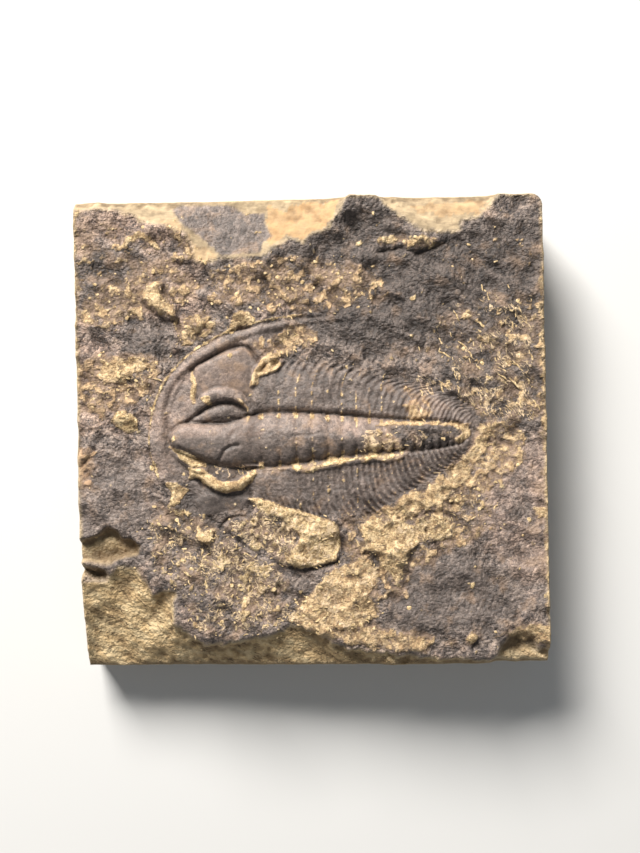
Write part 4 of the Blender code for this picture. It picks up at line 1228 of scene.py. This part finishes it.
def bitScale(tree, inputs):  # few bits are long; the long ones are wider too
    longer = treeMath(tree, "SUBTRACT", inputs["Longest"], inputs["Shortest"])
    length = times(tree, treeMath(tree, "POWER", randomValue(tree, 0.0, 1.0, 1), 1.8), longer)
    length = treeMath(tree, "ADD", length, inputs["Shortest"])
    width = times(tree, times(tree, length, inputs["Slimness"]), randomValue(tree, 0.7, 1.3, 2))
    width = treeMath(tree, "ADD", width, inputs["Thinnest"])
    height = timesPlus(tree, length, inputs["Height"], times(tree, inputs["Thinnest"], 0.6))
    return joinVector(tree, length, width, height)


def bentBits(tree, inputs, bits):  # noise bends the strokes and makes the crumbs uneven
    wobble = addNode(tree, "ShaderNodeTexNoise", {"Scale": inputs["Wobble scale"], "Detail": 1.0})
    centred = vectorMath(tree, "SUBTRACT", wobble.outputs["Color"], (0.5, 0.5, 0.5))
    reach = inputs["Wobble"]
    reach = joinVector(tree, reach, reach, times(tree, reach, 0.25))
    offset = vectorMath(tree, "MULTIPLY", centred, reach)
    return addNode(tree, "GeometryNodeSetPosition", {"Geometry": bits, "Offset": offset}).outputs[0]


def scatterBits(stone, name, sizes, thickness, material):  # lumps or strokes by one attribute
    tree, inputs = newTree(name, sizes)
    density = times(tree, inputs["Bits per square mm"], 1e6)
    density = times(tree, density, readAttribute(tree, thickness))
    scatter = addNode(tree, "GeometryNodeDistributePointsOnFaces", {
        "Mesh": inputs["Geometry"], "Density": density, "Seed": inputs["Seed"]})
    sphere = addNode(tree, "GeometryNodeMeshUVSphere", ball).outputs["Mesh"]
    laid = addNode(tree, "GeometryNodeTransform", {
        "Geometry": sphere, "Rotation": (0, math.pi / 2, 0)})
    lean = randomValue(tree, times(tree, inputs["Lean spread"], -1.0), inputs["Lean spread"], 3)
    turn = treeMath(tree, "RADIANS", treeMath(tree, "ADD", lean, inputs["Lean"]))
    placed = addNode(tree, "GeometryNodeInstanceOnPoints", {
        "Points": scatter.outputs["Points"], "Instance": laid.outputs[0],
        "Rotation": joinVector(tree, z=turn), "Scale": bitScale(tree, inputs)})
    bent = bentBits(tree, inputs, realized(tree, placed.outputs[0]))
    bits = runTree(stone, tree, sizes, bent, material, name)
    print(name, len(bits.data.polygons), "faces")
    return bits


# the camera's place in mm from the middle of the split face, its roll in degrees
camera = {"x": 1.7, "y": 1.4, "height": 260.0, "roll": -1.1, "lens": 51.5}
lights = {
    "window": {"at": (-0.3, 0.68, 0.55), "size": 0.4, "power": 23.0, "colour": (1.0, 0.98, 0.95)},
    "fill": {"at": (0.3, -0.4, 0.8), "size": 0.8, "power": 1.2, "colour": (0.9, 0.95, 1.0)},
}
room = {"colour": (0.9, 0.95, 1, 1), "strength": 0.16}
floorLook = {"size": 3, "colour": (0.6, 0.59, 0.57, 1), "roughness": 0.9}


def addCamera():
    data = bpy.data.cameras.new("overhead")
    data.lens = camera["lens"]
    data.clip_start = 0.01
    item = linkObject("overhead", data)
    item.location = (camera["x"] * mm, camera["y"] * mm, bedding + camera["height"] * mm)
    item.rotation_euler = (0, 0, math.radians(camera["roll"]))
    bpy.context.scene.camera = item


def addLights():
    for name, look in lights.items():
        data = bpy.data.lights.new(name, "AREA")
        data.size = look["size"]
        data.energy = look["power"]
        data.color = look["colour"]
        item = linkObject(name, data)
        item.location = look["at"]
        item.rotation_euler = (-Vector(look["at"])).to_track_quat("-Z", "Y").to_euler()
    world = bpy.data.worlds.new("softRoom")
    world.use_nodes = True
    background = world.node_tree.nodes["Background"].inputs
    background["Color"].default_value = room["colour"]
    background["Strength"].default_value = room["strength"]
    bpy.context.scene.world = world
    bpy.context.scene.view_settings.view_transform = "Standard"


def addFloor():
    material, tree, shader = newMaterial("paleFloor")
    shader.inputs["Base Color"].default_value = floorLook["colour"]
    shader.inputs["Roughness"].default_value = floorLook["roughness"]
    bpy.ops.mesh.primitive_plane_add(size=floorLook["size"], location=(0, 0, 0))
    floor = bpy.context.object
    floor.name = "floor"
    floor.data.materials.append(material)


addCamera()
addLights()
addFloor()
print("camera, lights and floor set")
stone = addRibs(buildSlab(), stoneMaterial())
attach(stone, "root")
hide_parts("trilobite_slab")
print("stone finished")
ochreGrain = bitMaterial()
for bits in (scatterBits(stone, "ochreCrumbs", crumbSizes, "crumbs", ochreGrain),
             scatterBits(stone, "ochreThreads", threadSizes, "threads", ochreGrain),
             scatterBits(stone, "ochreNeedles", needleSizes, "needles", ochreGrain)):
    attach(bits, "root")
print("ochre bits finished")
